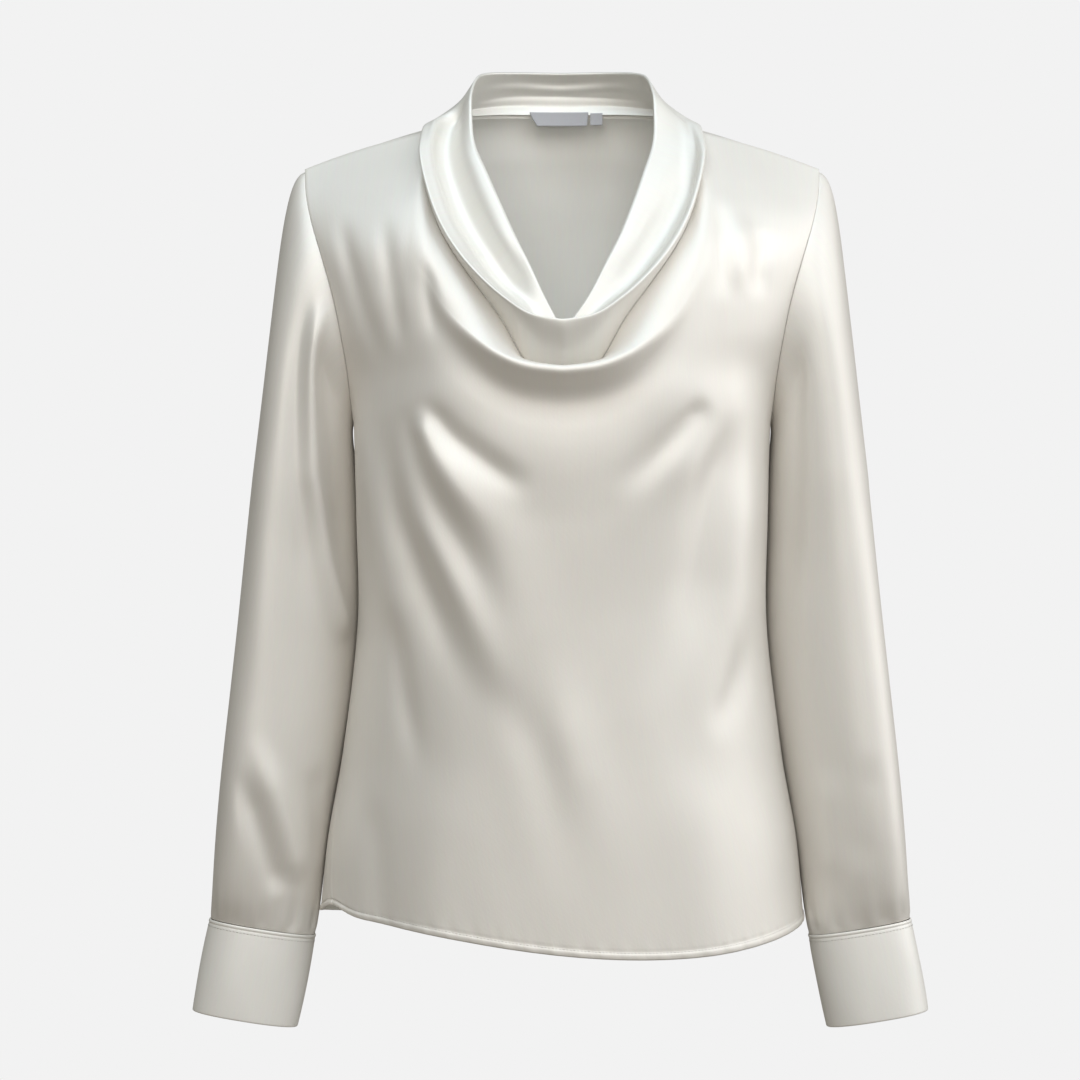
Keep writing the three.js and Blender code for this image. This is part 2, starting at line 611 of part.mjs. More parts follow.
// The collar, all round the neck: from the centre back, past the right shoulder and the front
function makeCollar() {
  const half = (sign) => {
    const lines = [];
    for (let i = 0; i < 2 * back.neckCells; i++) lines.push(collarLine(back, i, sign));
    for (let i = 2 * front.neckCells; i > 0; i--) lines.push(collarLine(front, i, sign));
    return lines;
  };
  const lines = [...half(1), collarLine(front, 0, 1), ...half(-1).slice(1).reverse()];
  const grid = lines[0].map((_, i) => lines.map((line) => line[i]));
  return wall(grid, collarCloth, { wraps: true, flip: true, gaps: { first: collarGap } });
}

// One point round a ring of a sleeve or cuff. turn is 0 at the outer side and 90 at the front.
function ringPoint(ring, turn, side) {
  const [c, s] = [Math.cos(radians(turn)), Math.sin(radians(turn))];
  const radius = (Math.abs(c) ** ringSquare + Math.abs(s) ** ringSquare) ** (-1 / ringSquare);
  const x = (ring.outer + ring.inner) / 2 + ((ring.outer - ring.inner) / 2) * c * radius;
  const hang = mix(rightLean.upper, rightLean.lower, ease((rightLean.from - ring.z) / rightLean.over));
  const lean = side > 0 ? (hang * (1 + c)) / 2 : 0;
  const y = ring.midY - (ring.halfDepth * s + ring.skew * c) * radius;
  return vector(side * x + lean, y, ring.z + ring.slant * c * radius);
}

function sleeveRing(length) {
  const names = ringNames.split(" ").slice(1);
  return Object.fromEntries(names.map((name) => [name, read(sleeveRings, name, length)]));
}

// A point of the armhole: turn is 0 at the shoulder point, 90 at the front and 180 at the underarm
function armholePoint(turn, side) {
  const share = turn <= 180 ? turn / 180 : (360 - turn) / 180;
  return torso(turn <= 180 ? front : back, side, mix(shoulderRow, underarmRow, share));
}

// The sleeve head: each line leaves the armhole outwards and comes down on the first ring
function capPoint(turn, side, share) {
  const start = armholePoint(turn, side);
  const end = ringPoint(sleeveRings[0], turn, side);
  const fromTop = Math.abs(((turn + 180) % 360) - 180);
  const top = ease(1 - fromTop / capTopTurn);
  const low = ease((fromTop - capLowTurn) / capLowSpan);
  const leave = vector(
    side * mix(capLeave.out, capLeave.outLow, low),
    capLeave.forward * Math.sin(radians(turn)),
    mix(mix(capLeave.down, capLeave.downTop, top), capLeave.downLow, low),
  ).normalize();
  const arrive = vector(
    -side * (mix(capArrive.inward, 0, low) + capArrive.inwardTop * top),
    0,
    mix(mix(capArrive.up, capArrive.upTop, top), capArrive.upLow, low),
  );
  const reach = mix(mix(capReach.side, capReach.top, top), capReach.low, low);
  const first = start.clone().addScaledVector(leave, reach);
  return new THREE.CubicBezierCurve3(start, first, end.clone().add(arrive), end).getPoint(share);
}

// A sleeve, from its head down its rings, with its folds
function makeSleeve(side) {
  const length = sleeveRings[sleeveRings.length - 1].at;
  const rows = capCells + sleeveCells;
  const turnAt = (j) => (360 * j) / roundCells;
  const grid = [];
  for (let i = 0; i <= rows; i++) {
    const line = [];
    for (let j = 0; j < roundCells; j++) {
      const ring = sleeveRing((Math.max(i - capCells, 0) / sleeveCells) * length);
      const onCap = i < capCells;
      line.push(onCap ? capPoint(turnAt(j), side, i / capCells) : ringPoint(ring, turnAt(j), side));
    }
    grid.push(line);
  }
  const normals = normalsOf(grid, true, side < 0);
  const folded = grid.map((line, i) =>
    line.map((p, j) => {
      const calm = ease(i / 3) * ease((rows - i) / 1.5);
      return p.clone().addScaledVector(normals[i][j], calm * sleeveLift(side, turnAt(j), -p.z));
    }),
  );
  return wall(folded, panelCloth, {
    wraps: true,
    flip: side < 0,
    gaps: { first: armholeGap, last: () => cuffGap },
  });
}

// The sleeve's folds on a flat map of it, which is laid three times side by side so that it closes
function sleeveLift(side, turn, drop) {
  const folds = side < 0 ? leftSleeveFolds : rightSleeveFolds;
  let lift = 0;
  for (const around of [turn - 360, turn, turn + 360]) {
    lift += liftOf(folds.map(onMap), around * roundMillimetre, drop);
  }
  return lift;
}
const onMap = (item) => {
  item.map ||= { ...item, line: item.line.map(([turn, drop]) => [turn * roundMillimetre, drop]) };
  return item.map;
};

function makeCuff(side) {
  const grid = [];
  for (let i = 0; i <= cuffCells; i++) {
    const share = i / cuffCells;
    const ring = Object.fromEntries(Object.keys(cuffTop).map((k) => [k, mix(cuffTop[k], cuffEnd[k], share)]));
    const line = [];
    for (let j = 0; j < roundCells; j++) line.push(ringPoint(ring, (360 * j) / roundCells, side));
    grid.push(line);
  }
  return wall(grid, cuffCloth, { wraps: true, flip: side < 0 });
}

// A label is a small bent strip that hangs in front of the back neck seam
function makeLabel({ from, to, top, drop }) {
  const grid = [top, top - drop].map((z) => {
    const line = [];
    for (let j = 0; j <= labelCells; j++) {
      const x = mix(from, to, j / labelCells);
      line.push(vector(x, labelY - labelBend * x * x, z));
    }
    return line;
  });
  return wall(grid, labelCloth, { flip: true });
}

const satin = { color: 0xe4e2da, roughness: 0.38, metalness: 0 };
const woven = { color: 0xb9b7bd, roughness: 0.55, metalness: 0 };
const blouse = new THREE.Group();

function addPiece(name, geometry, finish) {
  const piece = new THREE.Mesh(geometry, new THREE.MeshStandardMaterial(finish));
  piece.name = name;
  blouse.add(piece);
}

addPiece("front", makePanel(front), satin);
addPiece("back", makePanel(back), satin);
addPiece("collar", makeCollar(), satin);
addPiece("sleeve_left", makeSleeve(-1), satin);
addPiece("sleeve_right", makeSleeve(1), satin);
addPiece("cuff_left", makeCuff(-1), satin);
addPiece("cuff_right", makeCuff(1), satin);
addPiece("neck_label", makeLabel(neckLabel), woven);
addPiece("size_tab", makeLabel(sizeTab), woven);

export default blouse;
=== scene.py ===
import math

import bpy
import numpy as np
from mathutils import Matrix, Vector


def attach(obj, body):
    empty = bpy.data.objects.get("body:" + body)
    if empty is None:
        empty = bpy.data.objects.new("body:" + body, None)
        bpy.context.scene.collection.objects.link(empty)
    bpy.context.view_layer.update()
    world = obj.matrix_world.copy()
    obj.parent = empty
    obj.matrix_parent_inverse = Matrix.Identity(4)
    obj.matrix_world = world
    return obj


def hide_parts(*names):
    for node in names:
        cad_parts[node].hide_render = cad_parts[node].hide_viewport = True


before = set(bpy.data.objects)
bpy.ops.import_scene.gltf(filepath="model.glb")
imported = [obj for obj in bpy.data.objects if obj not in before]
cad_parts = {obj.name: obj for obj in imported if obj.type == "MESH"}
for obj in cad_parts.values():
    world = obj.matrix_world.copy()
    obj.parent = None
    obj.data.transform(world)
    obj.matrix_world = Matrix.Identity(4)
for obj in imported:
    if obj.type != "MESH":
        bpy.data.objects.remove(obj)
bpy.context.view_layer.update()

mm = 0.001
print("frame loaded:", ", ".join(sorted(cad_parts)))


# Camera, light and backdrop, in metres

camera = {
    "distance": 3.0,
    "x": -0.01694,
    "z": -0.31185,
    "frameWidth": 0.8316,  # what the frame shows, across the middle of the blouse
    "sensor": 36,
    "clip": (0.05, 60),
}
studio = {
    "backdrop": (0.888, 0.888, 0.888),
    "backdropRadius": 14.0,
    "floorZ": -0.92,
    "room": (1.0, 0.94, 0.82),
    "roomStrength": 0.22,
    "aim": (0, 0, -0.35),
    # name: place, width, height, watts, colour
    "lamps": {
        "key": ((2.7, -2.1, 0.5), 2.4, 2.4, 14, (0.97, 0.985, 1.0)),
        "high": ((2.0, -1.6, 1.7), 2.0, 1.6, 26, (0.93, 0.965, 1.0)),
        "side": ((3.0, -0.2, 0.2), 2.0, 2.4, 28, (1.0, 1.0, 1.0)),
        "top": ((-0.3, -1.0, 2.3), 2.6, 1.6, 30, (0.7, 0.88, 1.0)),
        "above": ((-0.2, -2.6, 1.8), 2.4, 1.6, 32, (1.0, 0.965, 0.92)),
        "front": ((-0.1, -3.6, 0.1), 2.2, 1.8, 20, (1.0, 0.975, 0.935)),
    },
}


def putInScene(name, data):
    item = bpy.data.objects.new(name, data)
    bpy.context.scene.collection.objects.link(item)
    return item


def makeCamera():
    data = bpy.data.cameras.new("camera")
    data.sensor_width = camera["sensor"]
    data.lens = camera["sensor"] * camera["distance"] / camera["frameWidth"]
    data.clip_start, data.clip_end = camera["clip"]
    item = putInScene("camera", data)
    item.location = (camera["x"], -camera["distance"], camera["z"])
    item.rotation_euler = (math.pi / 2, 0, 0)
    bpy.context.scene.camera = item


def makeLamps():
    for name, (place, width, height, watts, colour) in studio["lamps"].items():
        data = bpy.data.lights.new("lamp_" + name, "AREA")
        data.shape = "RECTANGLE"
        data.size = width
        data.size_y = height
        data.energy = watts
        data.color = colour
        item = putInScene("lamp_" + name, data)
        item.location = place
        item.rotation_euler = (Vector(studio["aim"]) - Vector(place)).to_track_quat("-Z", "Y").to_euler()


def makeBackdrop():
    world = bpy.data.worlds.new("studio")
    bpy.context.scene.world = world
    world.use_nodes = True
    background = world.node_tree.nodes["Background"]
    background.inputs["Color"].default_value = (*studio["room"], 1)
    background.inputs["Strength"].default_value = studio["roomStrength"]
    paper = bpy.data.materials.new("studioPaper")
    paper.use_nodes = True
    tree = paper.node_tree
    tree.nodes.clear()
    glow = tree.nodes.new("ShaderNodeEmission")
    glow.inputs["Color"].default_value = (*studio["backdrop"], 1)
    out = tree.nodes.new("ShaderNodeOutputMaterial")
    tree.links.new(glow.outputs[0], out.inputs["Surface"])
    bpy.ops.mesh.primitive_uv_sphere_add(segments=48, ring_count=24, radius=studio["backdropRadius"])
    dome = bpy.context.object
    dome.name = "backdrop"
    bpy.ops.mesh.primitive_circle_add(vertices=64, radius=studio["backdropRadius"] * 0.99, fill_type="NGON")
    floor = bpy.context.object
    floor.name = "floor"
    floor.data.transform(floor.matrix_world)
    for vertex in floor.data.vertices:
        vertex.co.z = studio["floorZ"]
    for item in (dome, floor):
        item.data.materials.append(paper)
        for ray in ("diffuse", "glossy", "transmission", "volume_scatter", "shadow"):
            setattr(item, "visible_" + ray, False)  # paper shows, and lends the cloth no light


makeCamera()
makeLamps()
makeBackdrop()
bpy.context.scene.view_settings.view_transform = "Standard"
print("camera, lamps and backdrop ready")


# Cloth finishes

satinLook = {
    "shade": (0.825, 0.798, 0.755),
    "shadeSpread": 0.018,  # slow change of shade over the cloth
    "roughness": (0.48, 0.54),
    "metallic": 0.3,
    "specular": 0.5,
    "anisotropy": 0.35,
    "sheen": 0.12,
    "sheenRoughness": 0.45,
    "weavePitch": 0.00042,
    "weaveDepth": 0.000012,
    "slub": 0.00006,
}
# Back of the cloth: its matte finish is real, but its paler shade is painted light, standing in for light that
# shines through the thin cloth onto the inside
reversePaintedLightLook = {
    **satinLook,
    "shade": (0.99, 0.985, 0.95),
    "roughness": (0.62, 0.7),
    "metallic": 0,
    "specular": 0.3,
    "anisotropy": 0,
}
labelLook = {
    "shade": (0.47, 0.475, 0.51),
    "shadeSpread": 0.03,
    "roughness": (0.42, 0.5),
    "metallic": 0.0,
    "specular": 0.5,
    "anisotropy": 0.2,
    "sheen": 0.1,
    "sheenRoughness": 0.4,
    "weavePitch": 0.0005,
    "weaveDepth": 0.00008,
    "slub": 0.00002,
}
# Two layers of cloth let less light through
doubledLook = {**satinLook, "shade": (0.845, 0.83, 0.79), "metallic": 0.34}
# The cuffs are doubled cloth too; their shade, paler than the collar's, is painted light that lifts them as if
# better lit
cuffPaintedLightLook = {**doubledLook, "shade": (0.9, 0.885, 0.85), "metallic": 0.16}
threadLook = {**satinLook, "shade": (0.80, 0.775, 0.735), "roughness": (0.45, 0.55), "weavePitch": 0.0006}
pattern = {
    "driftScale": 9,
    "slubScale": 520,
    "slubStretch": 0.12,  # threads run down the cloth, so their grain is long and thin
    "slubTint": 0.06,
    "slubStrength": 0.6,
    "patchScale": 26,
    "weaveBend": 5,
    "weaveStrength": 0.5,
    "sheenTint": (1, 0.98, 0.95),
}
shaderSockets = {
    "Metallic": "metallic",
    "Specular IOR Level": "specular",
    "Anisotropic": "anisotropy",
    "Sheen Weight": "sheen",
    "Sheen Roughness": "sheenRoughness",
}


def nodeTools(tree):
    def node(kind, inputs=None, **settings):
        made = tree.nodes.new(kind)
        for key, value in (inputs or {}).items():
            made.inputs[key].default_value = value
        for key, value in settings.items():
            setattr(made, key, value)
        return made

    def join(a, output, b, target):
        tree.links.new(a.outputs[output], b.inputs[target])

    return node, join


def makeCloth(name, look):
    material = bpy.data.materials.new(name)
    material.use_nodes = True
    tree = material.node_tree
    tree.nodes.clear()
    node, join = nodeTools(tree)
    cloth = node("ShaderNodeUVMap", uv_map="cloth")
    place = node("ShaderNodeTexCoord")
    out = node("ShaderNodeOutputMaterial")
    shader = node("ShaderNodeBsdfPrincipled", {socket: look[key] for socket, key in shaderSockets.items()})
    shader.inputs["Sheen Tint"].default_value = (*pattern["sheenTint"], 1)
    join(shader, "BSDF", out, "Surface")
    if look["anisotropy"]:
        tangent = node("ShaderNodeTangent", direction_type="UV_MAP", uv_map="cloth")
        join(tangent, "Tangent", shader, "Tangent")

    # Shade: a slow drift over the cloth, and finer thin streaks along its threads
    drift = node("ShaderNodeTexNoise", {"Scale": pattern["driftScale"], "Detail": 3})
    join(place, "Object", drift, "Vector")
    shades = node("ShaderNodeValToRGB")
    low, high = (tuple(c * (1 + s * look["shadeSpread"]) for c in look["shade"]) for s in (-1, 1))
    for element, position, colour in zip(shades.color_ramp.elements, (0.3, 0.7), (low, high)):
        element.position = position
        element.color = (*colour, 1)
    join(drift, "Fac", shades, "Fac")
    grain = node("ShaderNodeMapping", {"Scale": (1, pattern["slubStretch"], 1)})
    join(cloth, "UV", grain, "Vector")
    slub = node("ShaderNodeTexNoise", {"Scale": pattern["slubScale"], "Detail": 4})
    join(grain, "Vector", slub, "Vector")
    tint = node("ShaderNodeMixRGB", {"Fac": pattern["slubTint"]}, blend_type="MULTIPLY")
    join(shades, "Color", tint, "Color1")
    join(slub, "Color", tint, "Color2")
    join(tint, "Color", shader, "Base Color")

    # Gloss varies in patches
    patch = node("ShaderNodeTexNoise", {"Scale": pattern["patchScale"]})
    join(place, "Object", patch, "Vector")
    least, most = look["roughness"]
    gloss = node("ShaderNodeMapRange", {"To Min": least, "To Max": most})
    join(patch, "Fac", gloss, "Value")
    join(gloss, "Result", shader, "Roughness")

    # Weave and slubs in relief
    waves = {"Scale": 0.5 / look["weavePitch"] / 10, "Distortion": pattern["weaveBend"], "Detail": 1}
    weave = node("ShaderNodeTexWave", waves, wave_type="BANDS", bands_direction="DIAGONAL")
    join(cloth, "UV", weave, "Vector")
    fine = node("ShaderNodeBump", {"Strength": pattern["weaveStrength"], "Distance": look["weaveDepth"]})
    join(weave, "Fac", fine, "Height")
    long = node("ShaderNodeBump", {"Strength": pattern["slubStrength"], "Distance": look["slub"]})
    join(slub, "Fac", long, "Height")
    join(fine, "Normal", long, "Normal")
    join(long, "Normal", shader, "Normal")
    return material


satin = makeCloth("ivorySatin", satinLook)
doubled = makeCloth("doubledSatin", doubledLook)
cuffClothPaintedLight = makeCloth("cuffSatinPaintedLight", cuffPaintedLightLook)
reverse = makeCloth("satinReversePaintedLight", reversePaintedLightLook)
woven = makeCloth("wovenLabel", labelLook)
thread = makeCloth("sewingThread", threadLook)
print("cloth finishes ready")


# Curves, tables and sheets of points, from here on in millimetres


def table(names, *rows):
    # A table with named columns. The first one says where each row stands
    return dict(zip(names.split(), np.array(rows, float).T))


def read(rows, column, at):
    # A column of a table, on a smooth curve through its rows
    keys, values = rows["at"], rows[column]
    at = np.asarray(at, float)
    i = np.clip(np.searchsorted(keys, at, side="right") - 1, 0, len(keys) - 2)
    slopes = np.empty(len(keys))
    slopes[1:-1] = (values[2:] - values[:-2]) / (keys[2:] - keys[:-2])
    slopes[0] = (values[1] - values[0]) / (keys[1] - keys[0])
    slopes[-1] = (values[-1] - values[-2]) / (keys[-1] - keys[-2])
    span = keys[i + 1] - keys[i]
    u = np.clip((at - keys[i]) / span, 0, 1)
    u2, u3 = u * u, u * u * u
    return (
        (2 * u3 - 3 * u2 + 1) * values[i]
        + (u3 - 2 * u2 + u) * span * slopes[i]
        + (3 * u2 - 2 * u3) * values[i + 1]
        + (u3 - u2) * span * slopes[i + 1]
    )


def mix(a, b, share):
    return a + (b - a) * share


def ease(value):
    u = np.clip(value, 0, 1)
    return u * u * (3 - 2 * u)


def unit(v):
    return v / np.maximum(np.linalg.norm(v, axis=-1, keepdims=True), 1e-9)


def stack(*parts):
    return np.stack(np.broadcast_arrays(*parts), axis=-1).astype(float)


def smoothLine(points, steps=8):
    # A smooth curve through a few points
    p = np.array(points, float)
    p = np.vstack([2 * p[0] - p[1], p, 2 * p[-1] - p[-2]])
    t = np.linspace(0, len(points) - 1, steps * (len(points) - 1) + 1)
    i = np.minimum(t.astype(int), len(points) - 2)
    u = (t - i)[:, None]
    a, b, c, d = p[i], p[i + 1], p[i + 2], p[i + 3]
    return 0.5 * (2 * b + (c - a) * u + (2 * a - 5 * b + 4 * c - d) * u**2 + (3 * b - a - 3 * c + d) * u**3)


usualFades = (0.3, 0.3)


def foldLift(folds, x, z):
    # How far soft folds move each point. A fold is its line, its width (or a pair, from start to end), its
    # height and, where they aren't the usual ones, the shares of the line over which it fades in and out.
    lift = np.zeros(x.shape)
    for points, width, height, *fades in folds:
        fadeIn, fadeOut = fades or usualFades
        line = smoothLine(points)
        widths = width if isinstance(width, tuple) else (width, width)
        reach = 3 * max(widths)
        near = (x > line[:, 0].min() - reach) & (x < line[:, 0].max() + reach)
        near &= (z > line[:, 1].min() - reach) & (z < line[:, 1].max() + reach)
        px, pz = x[near], z[near]
        nearest = np.full(px.shape, 1e9)
        along = np.zeros(px.shape)
        for i in range(len(line) - 1):
            dx, dz = line[i + 1] - line[i]
            ax, az = px - line[i, 0], pz - line[i, 1]
            u = np.clip((ax * dx + az * dz) / (dx * dx + dz * dz), 0, 1)
            distance = np.hypot(ax - u * dx, az - u * dz)
            closer = distance < nearest
            nearest = np.where(closer, distance, nearest)
            along = np.where(closer, (i + u) / (len(line) - 1), along)
        fade = ease(along / fadeIn)
        if fadeOut:
            fade = fade * ease((1 - along) / fadeOut)
        lift[near] += height * fade * np.exp(-((nearest / mix(*widths, along)) ** 2))
    return lift


def ripple(u, v, seed, sizes, height):
    # Faint unevenness of hanging cloth: a few long waves, set by their seed
    random = np.random.default_rng(seed)
    total = np.zeros(np.broadcast(u, v).shape)
    for size in sizes:
        for _ in range(3):
            turn = random.normal(0, 0.35)
            phase = random.uniform(0, 2 * math.pi)
            along = u * math.cos(turn) + v * math.sin(turn)
            total += np.sin(along * 2 * math.pi / size + phase) * size / sizes[0]
    return height * total / 3


def soften(grid, times, wraps=False):
    # Draws each point towards its neighbours, except along the borders
    for _ in range(times):
        grid = grid.copy()
        grid[1:-1] = (grid[:-2] + 2 * grid[1:-1] + grid[2:]) / 4
        if wraps:
            grid = (np.roll(grid, 1, 1) + 2 * grid + np.roll(grid, -1, 1)) / 4
        else:
            grid[:, 1:-1] = (grid[:, :-2] + 2 * grid[:, 1:-1] + grid[:, 2:]) / 4
    return grid


def outward(grid, wraps, flip):
    across = np.roll(grid, -1, 1) - np.roll(grid, 1, 1) if wraps else np.gradient(grid, axis=1)
    normal = unit(np.cross(across, np.gradient(grid, axis=0)))
    return -normal if flip else normal


def turnIn(grid, wraps, flip, end, radius, depth, gap=0, axis=0):
    # A sewn edge: the cloth rounds over and goes straight in, as a seam allowance does.
    # Its last line stops short of the seam by the gap, or goes past it where the gap is negative.
    normals = outward(grid, wraps, flip)
    g = np.swapaxes(grid, 0, 1) if axis else grid
    n = np.swapaxes(normals, 0, 1) if axis else normals
    if end:
        g, n = g[::-1], n[::-1]
    away = unit(g[2] - g[0])
    out = unit(n[1])
    edge = g[0] + away * gap
    steps = [(0, depth), (0, mix(radius, depth, 0.4)), (0, radius), (0.3 * radius, 0.3 * radius), (radius, 0)]
    rows = [edge + away * back - out * down for back, down in steps]
    keep = np.linalg.norm(g[1:6] - g[0], axis=-1).mean(axis=-1) > radius * 1.6
    first = 1 + int(np.argmax(keep)) if keep.any() else 6
    g = np.concatenate([np.array(rows), g[first:]])
    if end:
        g = g[::-1]
    return np.swapaxes(g, 0, 1) if axis else g


def quadsOf(sheet):
    return np.stack([sheet[:-1, :-1], sheet[:-1, 1:], sheet[1:, 1:], sheet[1:, :-1]], axis=-1).reshape(-1, 4)


def shell(name, grid, thickness, outer, inner, wraps=False, flip=False):
    # A closed sheet of cloth from a grid of outer points: rows up, columns round
    rows, columns = grid.shape[:2]
    thick = np.broadcast_to(np.asarray(thickness, float), (rows, columns))[..., None]
    points = np.stack([grid, grid - outward(grid, wraps, flip) * thick])
    column = np.arange(columns + 1 if wraps else columns) % columns  # a tube ends on its first column again
    u = np.linalg.norm(np.diff(grid[:, column], axis=1), axis=2).mean(0)
    v = np.linalg.norm(np.diff(grid, axis=0), axis=2).mean(1)
    places = [np.append(0, np.cumsum(step)) * mm for step in (u, v)]
    flat = stack(*np.meshgrid(*places)).reshape(-1, 2)
    maps = np.concatenate([flat, flat + mm])  # the back lies a little aside, so the rim has a width on the map
    vertex = (np.arange(rows)[:, None] * columns + column).ravel()
    vertex = np.concatenate([vertex, vertex + rows * columns])
    near = np.arange(len(flat)).reshape(rows, -1)
    far = near + len(flat)
    sheets = [near, far.T, np.stack([near[0], far[0]], 1), np.stack([far[-1], near[-1]], 1)]
    if not wraps:
        sheets += [np.stack([far[:, 0], near[:, 0]], 1), np.stack([near[:, -1], far[:, -1]], 1)]
    quads = [quadsOf(sheet) for sheet in sheets]
    slots = np.concatenate([np.full(len(part), i == 1, np.int32) for i, part in enumerate(quads)])
    faces = np.concatenate(quads)
    if flip:
        faces = faces[:, ::-1]
    mesh = bpy.data.meshes.new(name)
    mesh.vertices.add(2 * rows * columns)
    mesh.vertices.foreach_set("co", (points * mm).astype(np.float32).ravel())
    mesh.loops.add(faces.size)
    mesh.loops.foreach_set("vertex_index", vertex[faces].astype(np.int32).ravel())
    mesh.polygons.add(len(faces))
    mesh.polygons.foreach_set("loop_start", np.arange(0, faces.size, 4, dtype=np.int32))
    mesh.polygons.foreach_set("material_index", slots)
    mesh.polygons.foreach_set("use_smooth", np.ones(len(faces), bool))
    mesh.update(calc_edges=True)
    mesh.uv_layers.new(name="cloth")
    mesh.uv_layers["cloth"].data.foreach_set("uv", maps[faces].astype(np.float32).ravel())
    mesh.validate()
    mesh.materials.append(outer)
    mesh.materials.append(inner)
    piece = putInScene(name, mesh)
    print(name, "made,", 2 * len(faces), "triangles")
    return piece


# Front and back

hem = {
    "fold": 5.6,  # depth of the folded hem
    "dip": {-1: -24.0, 1: -8.0},  # centre of the hem below the lowest torso row, front and back
    "sweep": {-1: 27.0, 1: 11.0},  # rise of the hem from the centre to the sides
    "tilt": 2.0,  # higher at the left side, lower at the right
    "vent": 6.0,  # rounded corner at each side seam
    "ventShare": 0.2,
    "fadeRows": 8.0,  # torso rows over which the hem's shape fades out
    "cloth": 1.9,
    "belly": 0.45,
    "dimple": 0.5,  # where the stitches draw it in
    "stand": 0.35,
    "pucker": 0.35,
    "edgeRows": [0, 0.03, 0.06, 0.1, 0.13, 0.16, 0.19, 0.22, 0.26],
}
panel = {
    "cloth": 0.9,
    "seamRadius": 0.42,
    "seamDepth": 3.0,
    "neckDepth": 0.7,
    "neckRadius": 0.22,
    "calmRounds": 55,  # smoothing at the foot of the armhole
    "calmRow": 20.4,
    "calmReach": 3.2,
    "ripple": 0.35,
    "columnsFront": 208,
    "columnsBack": 180,
    "rowsLower": 128,
    "rowsUpper": 62,
    "neckShareFront": 22 / 36,  # share of the top edge that lies on the neck
    "neckShareBack": 12 / 22,
    "backCrestRow": 28.2,
    "bunch": 0.55,  # how much its upper lines bunch towards the crest
    "sideCalm": 0.12,  # no folds this near the side seams, nor this many rows from the shoulder
    "shoulderCalm": 2.5,
    "crestFade": 1.6,
}
underarmRow, strideRow, shoulderRow = 20, 26, 33  # rows of the torso, counted from the hem
rowPacking = 1.5
crestRise, crestTop = 1.5, 0.9
crestEnd = (118, -97)  # x and z where the cowl's crest runs out

# The torso in rows from the hem to the shoulder: half its width, its side and its centre line, how square
# and how round it is, how evenly its points lie across, and the turn of its side seam in degrees
torsoNames = "at halfWidth edgeY edgeZ centreY centreZ power round spread turn"
front, back = -1, 1
torsoRows = {
    front: table(
        torsoNames,
        [0, 186, 0, -600, -113, -600, 2.2, 0.5, 0, 20],
        [3.2, 180, 0, -540, -111, -540, 2.2, 0.5, 0, 14],
        [6.8, 168.5, 0, -474, -109, -474, 2.2, 0.5, 0, 8],
        [12.3, 157, 0, -373, -108, -373, 2.35, 0.48, 0, 2],
        [16, 158, 0, -300, -112, -300, 2.45, 0.46, 0, 0],
        [20, 160, 0, -224, -118, -226, 2.5, 0.45, 0, 0],
        [21, 160.3, -9, -220, -118.5, -214, 2.8, 0.54, 0.02, 0],
        [22.2, 161.5, -21, -207, -118.5, -199, 3.1, 0.74, 0.06, 0],
        [23.8, 163.7, -36, -184, -118, -178, 3, 0.96, 0.14, 0],
        [25.5, 168, -47, -156, -116, -154, 2.6, 0.91, 0.26, 0],
        [27.2, 174, -50, -127, -112, -125, 2.3, 0.88, 0.42, 0],
        [29.1, 183, -45, -96, -101, -90, 2.1, 0.84, 0.62, 0],
        [30.6, 191, -33, -70, -82, -58, 2, 0.92, 0.78, 0],
        [31.8, 196, -18, -48, -54, -28, 2, 1, 0.9, 0],
        [33, 198, -2, -26.5, -10.3, 12.2, 2, 1, 1, 0],
    ),
    back: table(
        torsoNames,
        [0, 186, 0, -600, 104, -600, 2.2, 0.5, 0, 20],
        [3.2, 180, 0, -540, 100, -540, 2.2, 0.5, 0, 14],
        [6.8, 168.5, 0, -474, 94, -474, 2.2, 0.5, 0, 8],
        [12.3, 157, 0, -373, 84, -373, 2.35, 0.48, 0, 2],
        [16, 158, 0, -300, 89, -300, 2.45, 0.46, 0, 0],
        [20, 160, 0, -224, 97, -224, 2.5, 0.45, 0, 0],
        [21, 160.3, 10, -220, 98, -212, 2.8, 0.56, 0.02, 0],
        [22.2, 161.5, 24, -207, 99, -194, 3.1, 0.85, 0.06, 0],
        [23.8, 164.5, 41, -184, 100, -166, 2.9, 1.08, 0.14, 0],
        [25.5, 169, 54, -156, 100, -132, 2.4, 1, 0.26, 0],
        [27.2, 176, 58, -127, 98, -96, 2.3, 0.9, 0.42, 0],
        [29.1, 185, 52, -96, 93, -54, 2.1, 0.84, 0.62, 0],
        [30.6, 192, 38, -70, 85, -14, 2, 0.92, 0.78, 0],
        [31.8, 196.5, 19, -46.5, 70, 20, 2, 1, 0.9, 0],
        [32.5, 197.5, 8, -33, 33, 23, 2, 1, 0.96, 0],
        [33, 198, -2, -26.5, -10.3, 12.2, 2, 1, 1, 0],
    ),
}
# The seam of the collar, from the centre front or back to the shoulder
neckSeam = {
    front: table(
        "at x y z",
        [0, 0, -100, -208],
        [0.08, 16, -101.5, -199],
        [0.17, 28, -103, -180],
        [0.32, 46, -101.5, -147],
        [0.47, 67, -94, -118],
        [0.6, 84, -82, -93],
        [0.74, 96, -65, -68],
        [0.88, 101.5, -40, -34],
        [1, 102, -8, 2.8],
    ),
    back: table(
        "at x y z row",
        [0, 0, 68, 21, 31.85],
        [0.26, 42, 61.5, 21, 31.9],
        [0.54, 77, 44, 17.5, 32.15],
        [0.8, 94.5, 18, 10, 32.6],
        [1, 102, -8, 2.8, 33],
    ),
}
# The crest of the cowl, from the centre outwards
frontCrest = table(
    "at x z lift",
    [0, 0, -184.5, 14],
    [0.14, 27, -181.2, 13.2],
    [0.27, 47, -173.2, 11.2],
    [0.38, 62, -162.8, 8.4],
    [0.5, 77, -150, 5.4],
    [0.62, 90, -135, 2.9],
    [0.76, 101, -116, 1.2],
    [1, *crestEnd, 0],
)
